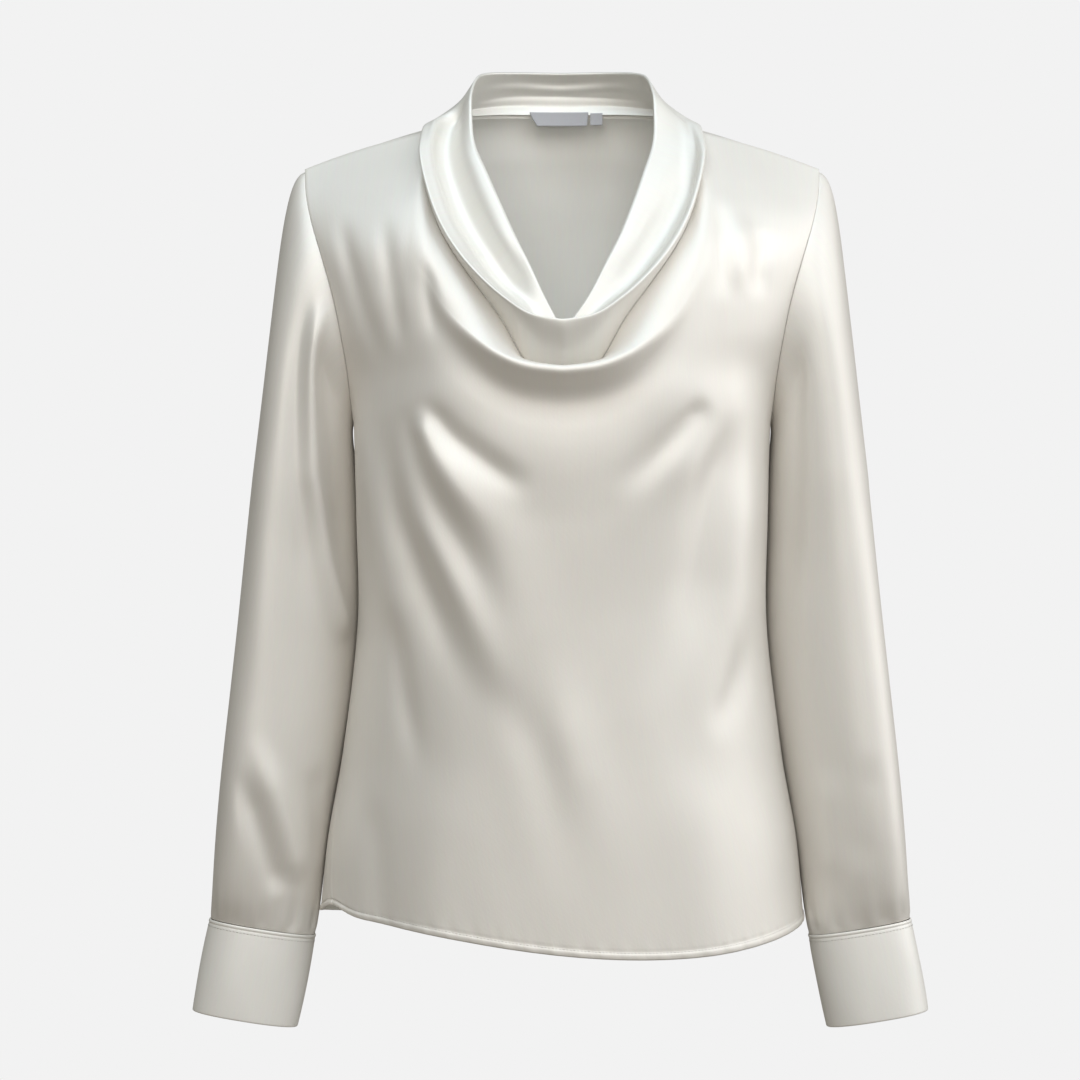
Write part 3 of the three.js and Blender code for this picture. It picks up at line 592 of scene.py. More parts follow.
# How far out the cowl stands, as a share of its lift, by the depth below its crest
crestShape = table(
    "at share",
    [-20, 0.75],
    [0, 0.9],
    [2, 1],
    [5, 0.93],
    [9, 0.62],
    [14, 0.16],
    [19, -0.15],
    [24, -0.3],
    [30, -0.34],
    [38, -0.27],
    [48, -0.12],
    [60, 0],
    [75, 0.05],
    [95, 0.03],
    [112, 0],
    [124, 0],
)

# Folds of the front, seen from the front
frontFolds = [
    # a broad swell, then creases from the left end of the cowl, down and inwards
    ([(-118, -196), (-92, -280), (-48, -370), (-6, -450)], (30, 44), 5, 0.3, 0.45),
    ([(-109, -210), (-98, -243), (-82, -266), (-65, -286), (-44, -310), (-12, -362)],
     (8, 22), 6.5, 0.14, 0.6),
    ([(-107, -205), (-86, -231), (-63, -250), (-40, -266), (-18, -273)], (8, 10), -4.5, 0.2, 0.4),
    ([(-117, -208), (-105, -250), (-90, -285), (-71, -320), (-55, -350), (-30, -400)],
     (8, 15), -4.8, 0.15, 0.45),
    ([(-123, -238), (-109, -289), (-90, -327), (-71, -366), (-52, -404), (-30, -434)], (9, 14), 3, 0.3, 0.45),
    ([(-134, -215), (-122, -289), (-109, -327), (-94, -362), (-79, -397), (-44, -456)],
     (8, 16), -6, 0.3, 0.4),
    ([(-152, -204), (-143, -256), (-132, -320), (-125, -358), (-115, -389), (-84, -480)],
     (8, 18), 5.5, 0.3, 0.45),
    ([(-135, -342), (-125, -389), (-119, -427), (-113, -458), (-106, -490)], (7, 9), -3.5, 0.35, 0.4),
    # from its right end
    ([(111, -206), (95, -223), (75, -243), (56, -262), (34, -276)], (8, 11), -4, 0.2, 0.45),
    ([(114, -222), (91, -254), (72, -273), (30, -318)], (10, 20), 2.6, 0.35, 0.6),
    ([(137, -204), (125, -243), (112, -281), (104, -320), (97, -350), (83, -389), (42, -450)],
     (11, 22), -6, 0.25, 0.4),
    ([(146, -240), (139, -281), (133, -320), (131, -358), (119, -395), (80, -462)], (11, 22), 4.5, 0.3, 0.4),
    ([(139, -376), (131, -420), (123, -440), (113, -462)], (8, 10), -3, 0.35, 0.4),
    # low at the centre, and down to the hem
    ([(-10, -390), (2, -440), (10, -481), (22, -512), (56, -580)], (16, 24), 3.2, 0.4, 0.5),
    ([(-62, -410), (-36, -440), (-15, -478), (-9, -512), (4, -560)], (15, 18), -1.8, 0.4, 0.5),
    ([(-92, -470), (-96, -550), (-98, -640)], (20, 24), 2, 0.35, 0),
    ([(-146, -500), (-140, -551), (-134, -640)], (10, 12), -2, 0.35, 0),
    ([(98, -470), (106, -550), (112, -640)], (20, 26), 2.5, 0.35, 0),
    # soft grooves of the chest
    ([(-170, -61), (-161, -102), (-147, -151), (-132, -186)], (6, 8), -3, 0.35, 0.35),
    ([(-137, -61), (-131, -102), (-125, -144), (-118, -177)], (6, 7), -2.5, 0.35, 0.35),
    ([(118, -50), (120, -91), (119, -136)], 7, -2.5, 0.35, 0.35),
    ([(154, -76), (150, -102), (145, -132)], 7, -2.5, 0.35, 0.35),
    ([(-104, -98), (-99, -132), (-95, -166)], (6, 7), -2, 0.35, 0.35),
    ([(136, -61), (134, -95), (130, -132)], 8, 2, 0.35, 0.35),
]
backFolds = [
    ([(-150, -190), (-70, -260), (0, -268)], 16, -4, 0.35, 0.35),
    ([(150, -196), (76, -262), (6, -272)], 16, -4, 0.35, 0.35),
    ([(-112, -300), (-96, -450), (-104, -640)], 20, 5, 0.35, 0),
    ([(-52, -330), (-44, -470), (-40, -640)], 20, -4, 0.35, 0),
    ([(8, -310), (14, -460), (20, -640)], 21, 5, 0.35, 0),
    ([(66, -340), (72, -470), (80, -640)], 19, -4, 0.35, 0),
    ([(118, -310), (120, -450), (130, -640)], 17, 4, 0.35, 0),
]


def torso(side, across, row):
    # A point of the torso: across is -1 at the left seam and 1 at the right one
    across, row = np.broadcast_arrays(np.asarray(across, float), np.asarray(row, float))
    angle = across - side * read(torsoRows[side], "turn", row) / 90
    past = np.abs(angle) > 1
    t = np.where(past, np.sign(angle) * (2 - np.abs(angle)), angle)

    def column(name):
        return np.where(past, read(torsoRows[-side], name, row), read(torsoRows[side], name, row))

    spread = column("spread")
    share = (1 - spread) * np.sin(t * math.pi / 2) + spread * t
    under = np.maximum(1 - np.abs(share) ** column("power"), 0)
    arch = under ** column("round")
    return stack(
        share * column("halfWidth"),
        mix(column("edgeY"), column("centreY"), arch),
        mix(column("centreZ"), column("edgeZ"), share * share),
    )


def whereItTurns(low, high, isLess):
    # The place between low and high up to which isLess holds, by halving
    for _ in range(30):
        middle = (low + high) / 2
        less = isLess(middle)
        low, high = np.where(less, middle, low), np.where(less, high, middle)
    return low


def acrossAt(side, x, row):
    ends = np.full(np.shape(x), -1.0), np.full(np.shape(x), 1.0)
    return whereItTurns(*ends, lambda across: torso(side, across, row)[..., 0] < x)


def placeOn(side, x, z):
    # The across and row of the torso point with this x and z
    x, z = np.asarray(x, float), np.asarray(z, float)
    rows = torsoRows[side]

    def isLower(row):
        share = x / read(rows, "halfWidth", row)
        return mix(read(rows, "centreZ", row), read(rows, "edgeZ", row), share * share) < z

    row = whereItTurns(np.zeros(x.shape), np.full(x.shape, float(shoulderRow)), isLower)
    return acrossAt(side, x, row), row


def torsoOut(side, across, row):
    step = 0.01
    point = torso(side, across, row)
    inside = np.where(np.abs(across) > 1 - 2 * step, -np.sign(across) * step, step)
    beside = torso(side, across + inside, row) - point
    above = torso(side, across, row + np.where(row > shoulderRow - 1, -0.1, 0.1)) - point
    out = unit(np.cross(beside, above))
    way = out[..., 0] * point[..., 0] * 0.25 + out[..., 1] * (point[..., 1] + 20 * side)
    return np.where(way[..., None] < 0, -out, out)


def rowShare(row):
    return (row / strideRow) * (rowPacking - (rowPacking - 1) * row / strideRow)


def calmUnderarm(point, level, across):
    # Evens out the step where the side seam runs into the armhole
    calm = point
    for _ in range(panel["calmRounds"]):
        calm = np.concatenate([calm[:1], (calm[:-2] + 2 * calm[1:-1] + calm[2:]) / 4, calm[-1:]])
    share = ease(1 - np.abs(level - panel["calmRow"]) / panel["calmReach"]) * ease((1 - across) / 0.1)
    return mix(point, calm, share[..., None])


def panelGrid(side, columns, rows, folds):
    isFront = side == front
    neckShare = panel["neckShareFront"] if isFront else panel["neckShareBack"]
    sign = np.where(columns < 0, -1.0, 1.0)
    c = np.abs(columns)
    onNeck = np.clip(c / neckShare, 0, 1)
    onShoulder = np.clip((c - neckShare) / (1 - neckShare), 0, 1)
    atShoulder = onShoulder > 0
    seam = neckSeam[side]
    seamX, seamY, seamZ = (read(seam, k, onNeck) for k in "xyz")
    corner = acrossAt(side, np.array(seam["x"][-1]), shoulderRow)
    if isFront:
        topAcross, topRow = placeOn(side, seamX, seamZ)
    else:
        topRow = read(seam, "row", onNeck)
        topAcross = acrossAt(side, seamX, topRow)
    topAcross = np.where(atShoulder, mix(corner, 1, onShoulder), topAcross)
    topRow = np.where(atShoulder, shoulderRow, topRow)
    endAcross, endRow = placeOn(side, *crestEnd)
    if isFront:
        crestAcross, crestRow = placeOn(side, read(frontCrest, "x", onNeck), read(frontCrest, "z", onNeck))
    else:
        crestAcross, crestRow = mix(0, endAcross, onNeck), mix(panel["backCrestRow"], endRow, onNeck**2)
    crestAcross = np.where(atShoulder, mix(endAcross, 1, onShoulder), crestAcross)
    crestRow = np.where(atShoulder, mix(endRow, strideRow, ease(onShoulder)), crestRow)

    row = rows[:, None]
    upper = row > strideRow
    w = np.where(upper, (row - strideRow) / (shoulderRow - strideRow), rowShare(row))
    turned = (1 - ease(onNeck / 0.9)) if isFront else 0 * onNeck
    w2 = np.where(upper, np.clip(w, 0, 1) ** (1 + panel["bunch"] * turned), w)
    across = np.where(upper, mix(crestAcross, topAcross, w2), mix(c, crestAcross, w))
    level = np.where(upper, mix(crestRow, topRow, w2), crestRow * w)
    point = calmUnderarm(torso(side, sign * across, level), level, across)
    out = torsoOut(side, sign * across, level)
    calm = ease((1 - across) / panel["sideCalm"]) * ease((shoulderRow - level) / panel["shoulderCalm"])
    proud = np.where(atShoulder, 0, read(frontCrest, "lift", onNeck)) if isFront else 0 * onNeck
    x, z = point[..., 0], point[..., 2]
    lift = foldLift(folds, x, z) * calm
    lift += ripple(x, z, 7 + side, (90, 48), panel["ripple"]) * calm
    below = read(frontCrest, "z", onNeck) - z
    atNeck = upper & ~atShoulder
    lift = np.where(
        atNeck,
        lift * (1 - w) + proud * crestTop * (1 - w) ** panel["crestFade"],
        lift + proud * read(crestShape, "share", below),
    )
    point = point + out * lift[..., None]
    point[..., 2] += np.where(upper, crestRise * proud * w * (1 - w) ** 2, 0)
    ends = torso(side, sign * topAcross, topRow)
    pull = stack(sign * seamX, seamY, seamZ) - ends
    point = point + np.where(atNeck, w * w, 0)[..., None] * pull
    low = np.clip(1 - level / hem["fadeRows"], 0, 1)
    sweep = np.sin(c * math.pi / 2) ** 2
    vent = ease((c - 1 + hem["ventShare"]) / hem["ventShare"]) ** 1.5
    point[..., 2] += low * low * (hem["dip"][side] + hem["sweep"][side] * sweep - hem["tilt"] * columns)
    point[..., 2] += low**6 * hem["vent"] * vent
    return point


def makePanel(name, side, columnCount, folds):
    columns = np.linspace(-1, 1, columnCount + 1)
    lower = np.linspace(0.34, strideRow, panel["rowsLower"])
    upper = np.linspace(strideRow, shoulderRow, panel["rowsUpper"] + 1)[1:]
    rows = np.concatenate([hem["edgeRows"], lower, upper])
    grid = soften(panelGrid(side, columns, rows, folds), 2)
    flip = side == back
    # The folded hem stands a little proud, dips at its stitches and puckers unevenly
    normals = outward(grid, False, flip)
    drop = np.concatenate([[0], np.cumsum(np.linalg.norm(np.diff(grid, axis=0), axis=2).mean(1))])[:, None]
    alongHem = np.concatenate([[0], np.cumsum(np.linalg.norm(np.diff(grid[3], axis=0), axis=1))])[None, :]
    onHem = 1 - ease((drop - hem["fold"]) / 1.2)
    belly = hem["belly"] * np.sin(np.clip(drop / hem["fold"], 0, 1) * math.pi)
    dimple = -hem["dimple"] * np.exp(-(((drop - hem["fold"]) / 0.9) ** 2))
    pucker = ripple(alongHem, drop * 1.5, 31 + side, (17, 9, 6), hem["pucker"]) * np.exp(-((drop / 9) ** 2))
    grid = grid + normals * (belly + dimple + hem["stand"] * onHem + pucker)[..., None]
    full = grid
    hemRows = drop[:, 0] < hem["fold"] + 0.5
    thick = np.where(hemRows, hem["cloth"], panel["cloth"])
    grid = turnIn(grid, False, flip, False, panel["seamRadius"], panel["seamDepth"], axis=1)
    grid = turnIn(grid, False, flip, True, panel["seamRadius"], panel["seamDepth"], axis=1)
    grid = turnIn(grid, False, flip, True, panel["neckRadius"], panel["neckDepth"])
    thick = np.concatenate([thick, np.full(max(len(grid) - len(thick), 0), panel["cloth"])])[: len(grid)]
    piece = shell(name, grid, thick[:, None], satin, reverse, flip=flip)
    return piece, full


frontPiece, frontGrid = makePanel("front", front, panel["columnsFront"], frontFolds)
backPiece, backGrid = makePanel("back", back, panel["columnsBack"], backFolds)
print("front and back made")


# Collar: lines from its foot over the roll and in to its edge, at places round the neck

collar = {
    "cloth": 1.8,
    "rollReach": 7.0,
    "rollWidth": 8.0,
    "lean": 7.0,  # its right half lies further over
    "columnsBack": 56,
    "columnsFront": 104,
    "rows": 46,
    "backReach": 0.5,  # how far the foot goes on down behind, to close the seam
    "footDepth": 0.6,
    "footRadius": 0.3,
    "mapRound": 1.7,  # millimetres for each hundredth of the way round the front, on the map of its creases
    "mapRoundBack": 1.1,
    "mapUp": 0.9,
}
collarNames = "at rollX rollY rollZ hollowX hollowY hollowZ edgeX edgeY edgeZ"
collarRows = {
    back: table(
        collarNames,
        [0, 0, 70.6, 30, 0, 69, 45, 0, 61, 55],
        [0.26, 44, 65.6, 29, 40, 62.5, 45, 35, 56, 55],
        [0.54, 79.5, 46.2, 23, 68, 43, 40, 58, 39, 52.5],
        [0.8, 97, 20, 14, 77, 15, 30, 67, 12, 45],
        [1, 107, -13, 6, 88, -8.5, 14, 70.5, -9, 30],
    ),
    front: table(
        collarNames,
        [0, 0, -129, -149, 0, -112, -165, 0, -105, -155],
        [0.155, 24, -126.5, -144.5, 15, -107, -152, 7, -104, -143],
        [0.31, 44, -121, -132, 29, -101.5, -133, 15.5, -99, -126],
        [0.425, 60, -113.5, -118, 42, -93, -116, 25, -90.5, -105],
        [0.54, 76, -103, -100, 56, -83, -93, 35.5, -80, -83],
        [0.66, 90, -88, -78, 69, -69.5, -72, 46, -67, -59],
        [0.79, 101, -71, -51, 81, -53.5, -46, 57, -51, -33],
        [0.92, 109, -43, -16, 91, -29.5, -12, 68, -30, -4],
        [1, 107, -13, 6, 88, -8.5, 14, 70.5, -9, 30],
    ),
}

# Creases of the collar on a flat map of it: (place, height) pairs, in hundredths of the way from the
# centre front to the shoulder, and in hundredths of the way from the seam to the top edge
collarFolds = {
    -1: [
        ([(108, 80), (96, 82), (85, 80), (70, 79), (55, 79), (38, 80), (24, 82)], (8.5, 9), -9.5, 0.1, 0.3),
        ([(110, 68), (96, 67), (80, 66), (60, 66), (42, 68)], (6, 7), 1.6, 0.2, 0.3),
        ([(96, 94), (80, 93), (60, 92), (40, 92)], 5, 1.4, 0.25, 0.3),
        ([(60, 60), (40, 58), (14, 58)], 5, -1.2, 0.3, 0.4),
    ],
    1: [
        ([(96, 66), (84, 68), (74, 71), (64, 73), (52, 74), (36, 75), (22, 78)], (8.5, 10), -9, 0.25, 0.35),
        ([(100, 84), (80, 88), (60, 90), (40, 92)], 6, 1.5),
        ([(112, 72), (98, 66), (80, 60)], 6, -1.8),
    ],
}
standFolds = [
    ([(-70, 74), (-30, 79), (0, 76), (34, 80), (70, 75)], 6, -1.6),
    ([(-64, 60), (-20, 62), (24, 59), (60, 62)], 6, 1.0),
]


def onMap(folds, across, up):
    # The same folds on a map that is stretched this much
    return [([(a * across, b * up) for a, b in line], *rest) for line, *rest in folds]


def collarLift(ats, onFront, signs, steps):
    # The shoulder lies at 100, so the back goes on past it
    place = np.where(onFront, ats, 2 - ats) * 100 * collar["mapRound"]
    behind = signs * ats * 100 * collar["mapRoundBack"]
    level = np.broadcast_to(steps[:, None] * 100 * collar["mapUp"], (len(steps), len(ats)))
    total = np.zeros(level.shape)
    for sign, folds in collarFolds.items():
        flat = onMap(folds, collar["mapRound"], collar["mapUp"])
        lift = foldLift(flat, np.broadcast_to(place, level.shape), level)
        total += lift * ease(signs * sign * place / 12 + 0.5)
    flat = onMap(standFolds, collar["mapRoundBack"], collar["mapUp"])
    return total + foldLift(flat, np.broadcast_to(behind, level.shape), level) * ~onFront


def curveThrough(points, t):
    # A smooth curve through control points that lie unevenly: points is (count, lines, 3), t runs 0 to 1
    last = len(points) - 1
    p = np.concatenate([2 * points[:1] - points[1:2], points, 2 * points[-1:] - points[-2:-1]])
    spans = np.maximum(np.sum(np.diff(p, axis=0) ** 2, axis=-1) ** 0.25, 1e-4)[..., None]
    i = min(int(t * last), last - 1)
    u = t * last - i
    a, b, c, d = p[i], p[i + 1], p[i + 2], p[i + 3]
    s0, s1, s2 = spans[i], spans[i + 1], spans[i + 2]
    leave = ((b - a) / s0 - (c - a) / (s0 + s1) + (c - b) / s1) * s1
    arrive = ((c - b) / s1 - (d - b) / (s1 + s2) + (d - c) / s2) * s1
    return b + leave * u + (-3 * b + 3 * c - 2 * leave - arrive) * u**2 + (2 * b - 2 * c + leave + arrive) * u**3


def collarLines(side, at, sign):
    rows, seam = collarRows[side], neckSeam[side]
    foot = stack(*(read(seam, k, at) for k in "xyz"))
    parts = ("roll", "hollow", "edge")
    roll, hollow, edge = (stack(*(read(rows, part + axis, at) for axis in "XYZ")) for part in parts)
    if side == front and sign > 0:
        edge[:, 0] += collar["lean"] * np.sin(at * math.pi)
        hollow[:, 0] += 0.6 * collar["lean"] * np.sin(at * math.pi)
    down, inward = unit(foot - roll), unit(hollow - roll)
    apart = down - inward
    width = np.linalg.norm(apart, axis=1, keepdims=True)
    apart = apart / width * np.maximum((collar["rollWidth"] - collar["rollReach"] * width) / 2, 0)
    near = np.minimum(collar["rollReach"], np.linalg.norm(foot - roll, axis=1, keepdims=True) / 2)
    before, after = roll + down * near + apart, roll + inward * collar["rollReach"] - apart
    points = np.stack([foot, before, roll, after, hollow, edge])
    points[..., 0] *= sign
    return points


def makeCollar():
    backAt = np.linspace(0, 1, collar["columnsBack"], endpoint=False)
    frontAt = np.linspace(1, 0, collar["columnsFront"], endpoint=False)
    centre = collarLines(front, np.array([0.0]), 1)
    halves = ([collarLines(back, backAt, sign), collarLines(front, frontAt, sign)] for sign in (1, -1))
    right, left = (np.concatenate(half, axis=1) for half in halves)
    lines = np.concatenate([right, centre, left[:, :0:-1]], axis=1)
    steps = np.linspace(0, 1, collar["rows"])
    grid = np.array([curveThrough(lines, t) for t in steps])
    ats = np.concatenate([backAt, frontAt, [0.0], frontAt[::-1], backAt[:0:-1]])
    onFront = np.concatenate([backAt < 0, frontAt > -1, [True], frontAt > -1, backAt[1:] < 0])
    signs = np.concatenate([np.ones(len(right[0])), [1.0], -np.ones(len(right[0]) - 1)])
    grid = soften(grid, 3, wraps=True)
    grid = grid + outward(grid, True, True) * collarLift(ats, onFront, signs, steps)[..., None]
    gap = np.where(onFront, 0, -collar["backReach"])[:, None]
    grid = turnIn(grid, True, True, False, collar["footRadius"], collar["footDepth"], gap)
    return shell("collar", grid, collar["cloth"], doubled, doubled, wraps=True, flip=True)


collarPiece = makeCollar()
print("collar made")


# Sleeves and cuffs

sleeve = {
    "cloth": 0.9,
    "capRows": 44,
    "rows": 126,
    "columns": 128,
    "square": 2.35,
    "ripple": 0.3,
    "leanTop": 2.2,  # the right sleeve hangs a little further out at its top, and in at its foot
    "leanFoot": -2.8,
    "gather": 0.8,
    "seamRadius": 0.42,
    "seamDepth": 3.0,
    "endRadius": 0.3,
    "endDepth": 2.0,
    "length": 349.5,
}
ringNames = "outer inner midY halfDepth z slant skew".split()
sleeveRows = table(
    "at outer inner midY halfDepth z slant skew",
    [0, 237, 158.8, 4, 55, -262, 0, 14],
    [50, 241.8, 157.4, 4, 52, -312, 0, 18],
    [111, 247.8, 156.6, 3, 50, -373, 0, 20],
    [168, 254, 161.6, 1, 49, -430, 0, 20],
    [213, 258.8, 168.6, -1, 48, -474, 1, 19],
    [252, 262.4, 175.8, -3, 46, -512, 2.5, 18],
    [291, 265.4, 182, -5, 42, -550, 4, 16],
    [327, 267.6, 186.3, -7, 35, -586, 5.5, 13],
    [sleeve["length"], 269, 190, -9, 27.6, -607.8, 6.9, 6],
)
cuff = {
    "cloth": 1.5,
    "length": 70.8,
    "rows": 34,
    "piping": 2.3,
    "pipingRise": 0.4,
    "overlap": 0.45,  # reaches up to the sleeve
    "groove": 0.22,
    "edgeRadius": 0.9,
    "belly": 0.8,
    "ripple": 0.25,
    "seamRadius": 0.4,
    "seamDepth": 1.6,
    "seamGap": 0.02,
    # its first and last ring: outer and inner side, middle, half its depth, height, slant and skew
    "start": (269.9, 189.6, -9, 28.2, -608.4, 6.9, 6),
    "end": (283, 203, -13, 27, -678, 6.8, 3),
}
# Folds of the sleeves, on lines of (turn, drop): turn in degrees from the outer side towards the front, drop in
# millimetres below the shoulder point. The hidden side is folded alike on both.
sleeveBackFolds = [
    ([(236, 120), (243, 270), (250, 420)], 18, -4),
    ([(290, 80), (288, 230), (285, 380)], 18, 3.5),
    ([(225, 470), (238, 517), (250, 565)], 12, -3.5),
    ([(268, 430), (280, 500), (300, 570)], (12, 14), 3.5),
]
sleeveFolds = {
    -1: [
        (
            [(76, 70), (82, 101), (90, 168), (99, 244), (108, 290), (117, 333), (131, 370), (144, 392)],
            (7, 9),
            6.2,
            0.12,
            0.15,
        ),
        ([(66, 90), (74, 168), (83, 244), (92, 290), (100, 333), (112, 380)], (9, 11), -3),
        ([(112, 110), (122, 200), (134, 280), (148, 350)], (14, 15), -6.5),
        ([(40, 60), (46, 200), (52, 340), (58, 440)], (13, 16), 2.5),
        ([(60, 455), (90, 507), (111, 545), (128, 577)], (9, 11), 4.4, 0.3, 0.25),
        ([(48, 480), (74, 522), (96, 560), (108, 585)], (9, 10), -4.2),
        ([(122, 480), (136, 520), (150, 565)], 8, -2.5),
        *sleeveBackFolds,
    ],
    1: [
        ([(62, 50), (66, 170), (74, 300), (86, 430)], (12, 16), 2),
        ([(118, 100), (116, 200), (122, 300), (132, 400)], (9, 12), -3),
        ([(90, 120), (92, 240), (100, 360), (112, 470)], (12, 15), 1.6),
        ([(58, 470), (76, 520), (90, 570)], (12, 14), -1.6),
        ([(104, 480), (114, 530), (120, 580)], (10, 12), 2),
        *sleeveBackFolds,
    ],
}
roundMillimetre = 0.83  # millimetres round the sleeve for each degree
# How the lines of the sleeve head leave the armhole and come down on the first ring: at the sides, at the top
# and under the arm
sleeveHead = {
    "out": (0.82, 0.82, 0.3),
    "down": (0.5, 0.2, 0.95),
    "reach": (30, 17, 10),
    "above": (74, 166, 12),
    "inside": (7, 20, 0),
    "forward": 0.3,
}


def ringPoint(ring, turn, side):
    # One point round a ring of a sleeve or cuff: turn is 0 at the outer side and 90 at the front
    angle = np.radians(turn)
    c, s = np.cos(angle), np.sin(angle)
    square = sleeve["square"]
    radius = (np.abs(c) ** square + np.abs(s) ** square) ** (-1 / square)
    x = (ring["outer"] + ring["inner"]) / 2 + (ring["outer"] - ring["inner"]) / 2 * c * radius
    lean = mix(sleeve["leanTop"], sleeve["leanFoot"], ease((-110 - ring["z"]) / 180)) if side > 0 else 0
    y = ring["midY"] - (ring["halfDepth"] * s + ring["skew"] * c) * radius
    return stack(side * x + lean * (1 + c) / 2, y, ring["z"] + ring["slant"] * c * radius)


def sleeveRing(length):
    return {name: read(sleeveRows, name, length) for name in ringNames}


def capPoint(turn, side, share):
    # The sleeve head: each line leaves the armhole outwards and comes down on the first ring
    toFront = turn <= 180
    along = np.where(toFront, turn, 360 - turn) / 180
    row = mix(shoulderRow, underarmRow, along)
    start = np.where(toFront[:, None], torso(front, float(side), row), torso(back, float(side), row))
    end = ringPoint(sleeveRing(0.0), turn, side)
    away = np.abs((turn + 180) % 360 - 180)
    top = ease(1 - away / 75)
    low = ease((away - 105) / 60)
    out, down, reach, above, inside = (
        mix(mix(sides, over, top), under, low)
        for sides, over, under in (sleeveHead[key] for key in ("out", "down", "reach", "above", "inside"))
    )
    leave = unit(stack(side * out, -sleeveHead["forward"] * np.sin(np.radians(turn)), -down))
    first = start + leave * reach[:, None]
    second = end + stack(-side * inside, 0, above)
    t = share[:, None, None]
    return (1 - t) ** 3 * start + 3 * t * (1 - t) ** 2 * first + 3 * t * t * (1 - t) * second + t**3 * end


def sleeveLift(side, turn, drop):
    u = turn * roundMillimetre
    circle = 360 * roundMillimetre
    lift = 0
    folds = onMap(sleeveFolds[side], roundMillimetre, 1)
    for shift in (-circle, 0, circle):
        lift = lift + foldLift(folds, u + shift, drop)
    return lift


def makeSleeve(side, name):
    turn = np.arange(sleeve["columns"]) * 360 / sleeve["columns"]
    cap = capPoint(turn, side, np.linspace(0, 1, sleeve["capRows"], endpoint=False))
    lengths = np.linspace(0, sleeve["length"] - 6, sleeve["rows"] - 4, endpoint=False)
    lengths = np.concatenate([lengths, sleeve["length"] - np.array([6, 4, 2, 0])])
    rings = np.array([ringPoint(sleeveRing(length), turn, side) for length in lengths])
    grid = soften(np.concatenate([cap, rings]), 2, wraps=True)
    row = np.arange(len(grid))[:, None]
    last = len(grid) - 1
    flip = side < 0
    normals = outward(grid, True, flip)
    calm = ease(row / 16) * ease((last - row) / 10)
    drop = -grid[..., 2]
    turns = np.broadcast_to(turn, drop.shape)
    lift = sleeveLift(side, turns, drop)
    lift = lift + ripple(turns * roundMillimetre, drop * 0.6, 11 + side, (70, 38), sleeve["ripple"])
    nearCuff = np.exp(-(((drop - drop[-1]) / 26) ** 2))
    pleats = ripple(turns * roundMillimetre, drop * 0.1, 5 + side, (21, 13), sleeve["gather"]) * nearCuff
    lift = lift * calm + pleats * ease((last - row) / 3)
    grid = grid + normals * lift[..., None]
    grid = turnIn(grid, True, flip, False, sleeve["seamRadius"], sleeve["seamDepth"])
    grid = turnIn(grid, True, flip, True, sleeve["endRadius"], sleeve["endDepth"])
    return shell(name, grid, sleeve["cloth"], satin, reverse, wraps=True, flip=flip)


def makeCuff(side, name):
    turn = np.arange(sleeve["columns"]) * 360 / sleeve["columns"]
    length, pipe, edge = cuff["length"], cuff["piping"], cuff["edgeRadius"]
    drops = [
        np.linspace(-cuff["overlap"], pipe + 1.4, 10),
        np.linspace(pipe + 2.4, length - 1.6, cuff["rows"]),
        length - np.array([0.9, 0.4, 0.1, 0]),
    ]
    drops = np.concatenate(drops)
    start, end = np.array(cuff["start"]), np.array(cuff["end"])
    rings = [dict(zip(ringNames, mix(start, end, share))) for share in drops / length]
    grid = np.array([ringPoint(ring, turn, side) for ring in rings])
    flip = side < 0
    normals = outward(grid, True, flip)
    piping = cuff["pipingRise"] * np.sqrt(np.clip(1 - ((drops - pipe / 2) / (pipe / 2)) ** 2, 0, 1))
    groove = -cuff["groove"] * np.exp(-(((drops - pipe) / 0.5) ** 2))
    rounded = -edge * (1 - np.sqrt(np.clip(1 - (1 - np.clip((length - drops) / edge, 0, 1)) ** 2, 0, 1)))
    belly = cuff["belly"] * np.sin(np.clip((drops - pipe) / (length - pipe), 0, 1) * math.pi) ** 0.7
    grid = grid + normals * (piping + groove + rounded + belly)[:, None, None]
    uneven = ripple(turn[None, :] * 0.6, drops[:, None], 17 + side, (52, 30), cuff["ripple"])
    grid = grid + normals * (uneven * np.clip((drops - pipe) / 12, 0, 1)[:, None])[..., None]
    grid = turnIn(grid, True, flip, False, cuff["seamRadius"], cuff["seamDepth"], cuff["seamGap"])
    piece = shell(name, grid, cuff["cloth"], cuffClothPaintedLight, cuffClothPaintedLight, wraps=True, flip=flip)
    return piece, grid


sleeves = {side: makeSleeve(side, name) for side, name in ((-1, "sleeve_left"), (1, "sleeve_right"))}
cuffs = {side: makeCuff(side, name) for side, name in ((-1, "cuff_left"), (1, "cuff_right"))}
print("sleeves and cuffs made")


# Neck label and size tab, both blank

label = {
    "top": 24.5,
    "drop": 11.0,
    "from": -25.0,
    "to": 21.0,
    "tabFrom": 22.6,
    "tabTo": 32.0,
    "tabTop": 23.6,
    "tabDrop": 9.6,
    "y": 64.1,
    "bend": 0.0034,  # it follows the round of the neck
    "cloth": 0.6,
    "slant": 6.0,  # its left end is cut aslant
}


def makeLabel(name, start, stop, top, drop, slant):
    share, z = np.meshgrid(np.linspace(0, 1, 40), np.linspace(top, top - drop, 16))
    x = mix(start + slant * ((top - z) / drop) ** 1.4, stop - 0.18 * slant * (top - z) / drop, share)
    curl = 0.5 * ((z - top) / drop) ** 2
    grid = stack(x, label["y"] - label["bend"] * x * x - curl, z)
    return shell(name, grid, label["cloth"], woven, woven, flip=True)


labelPiece = makeLabel("neck_label", label["from"], label["to"], label["top"], label["drop"], label["slant"])
tabPiece = makeLabel("size_tab", label["tabFrom"], label["tabTo"], label["tabTop"], label["tabDrop"], 0)
print("labels made")


# Sewing: rows of stitches along lines of the finished cloth

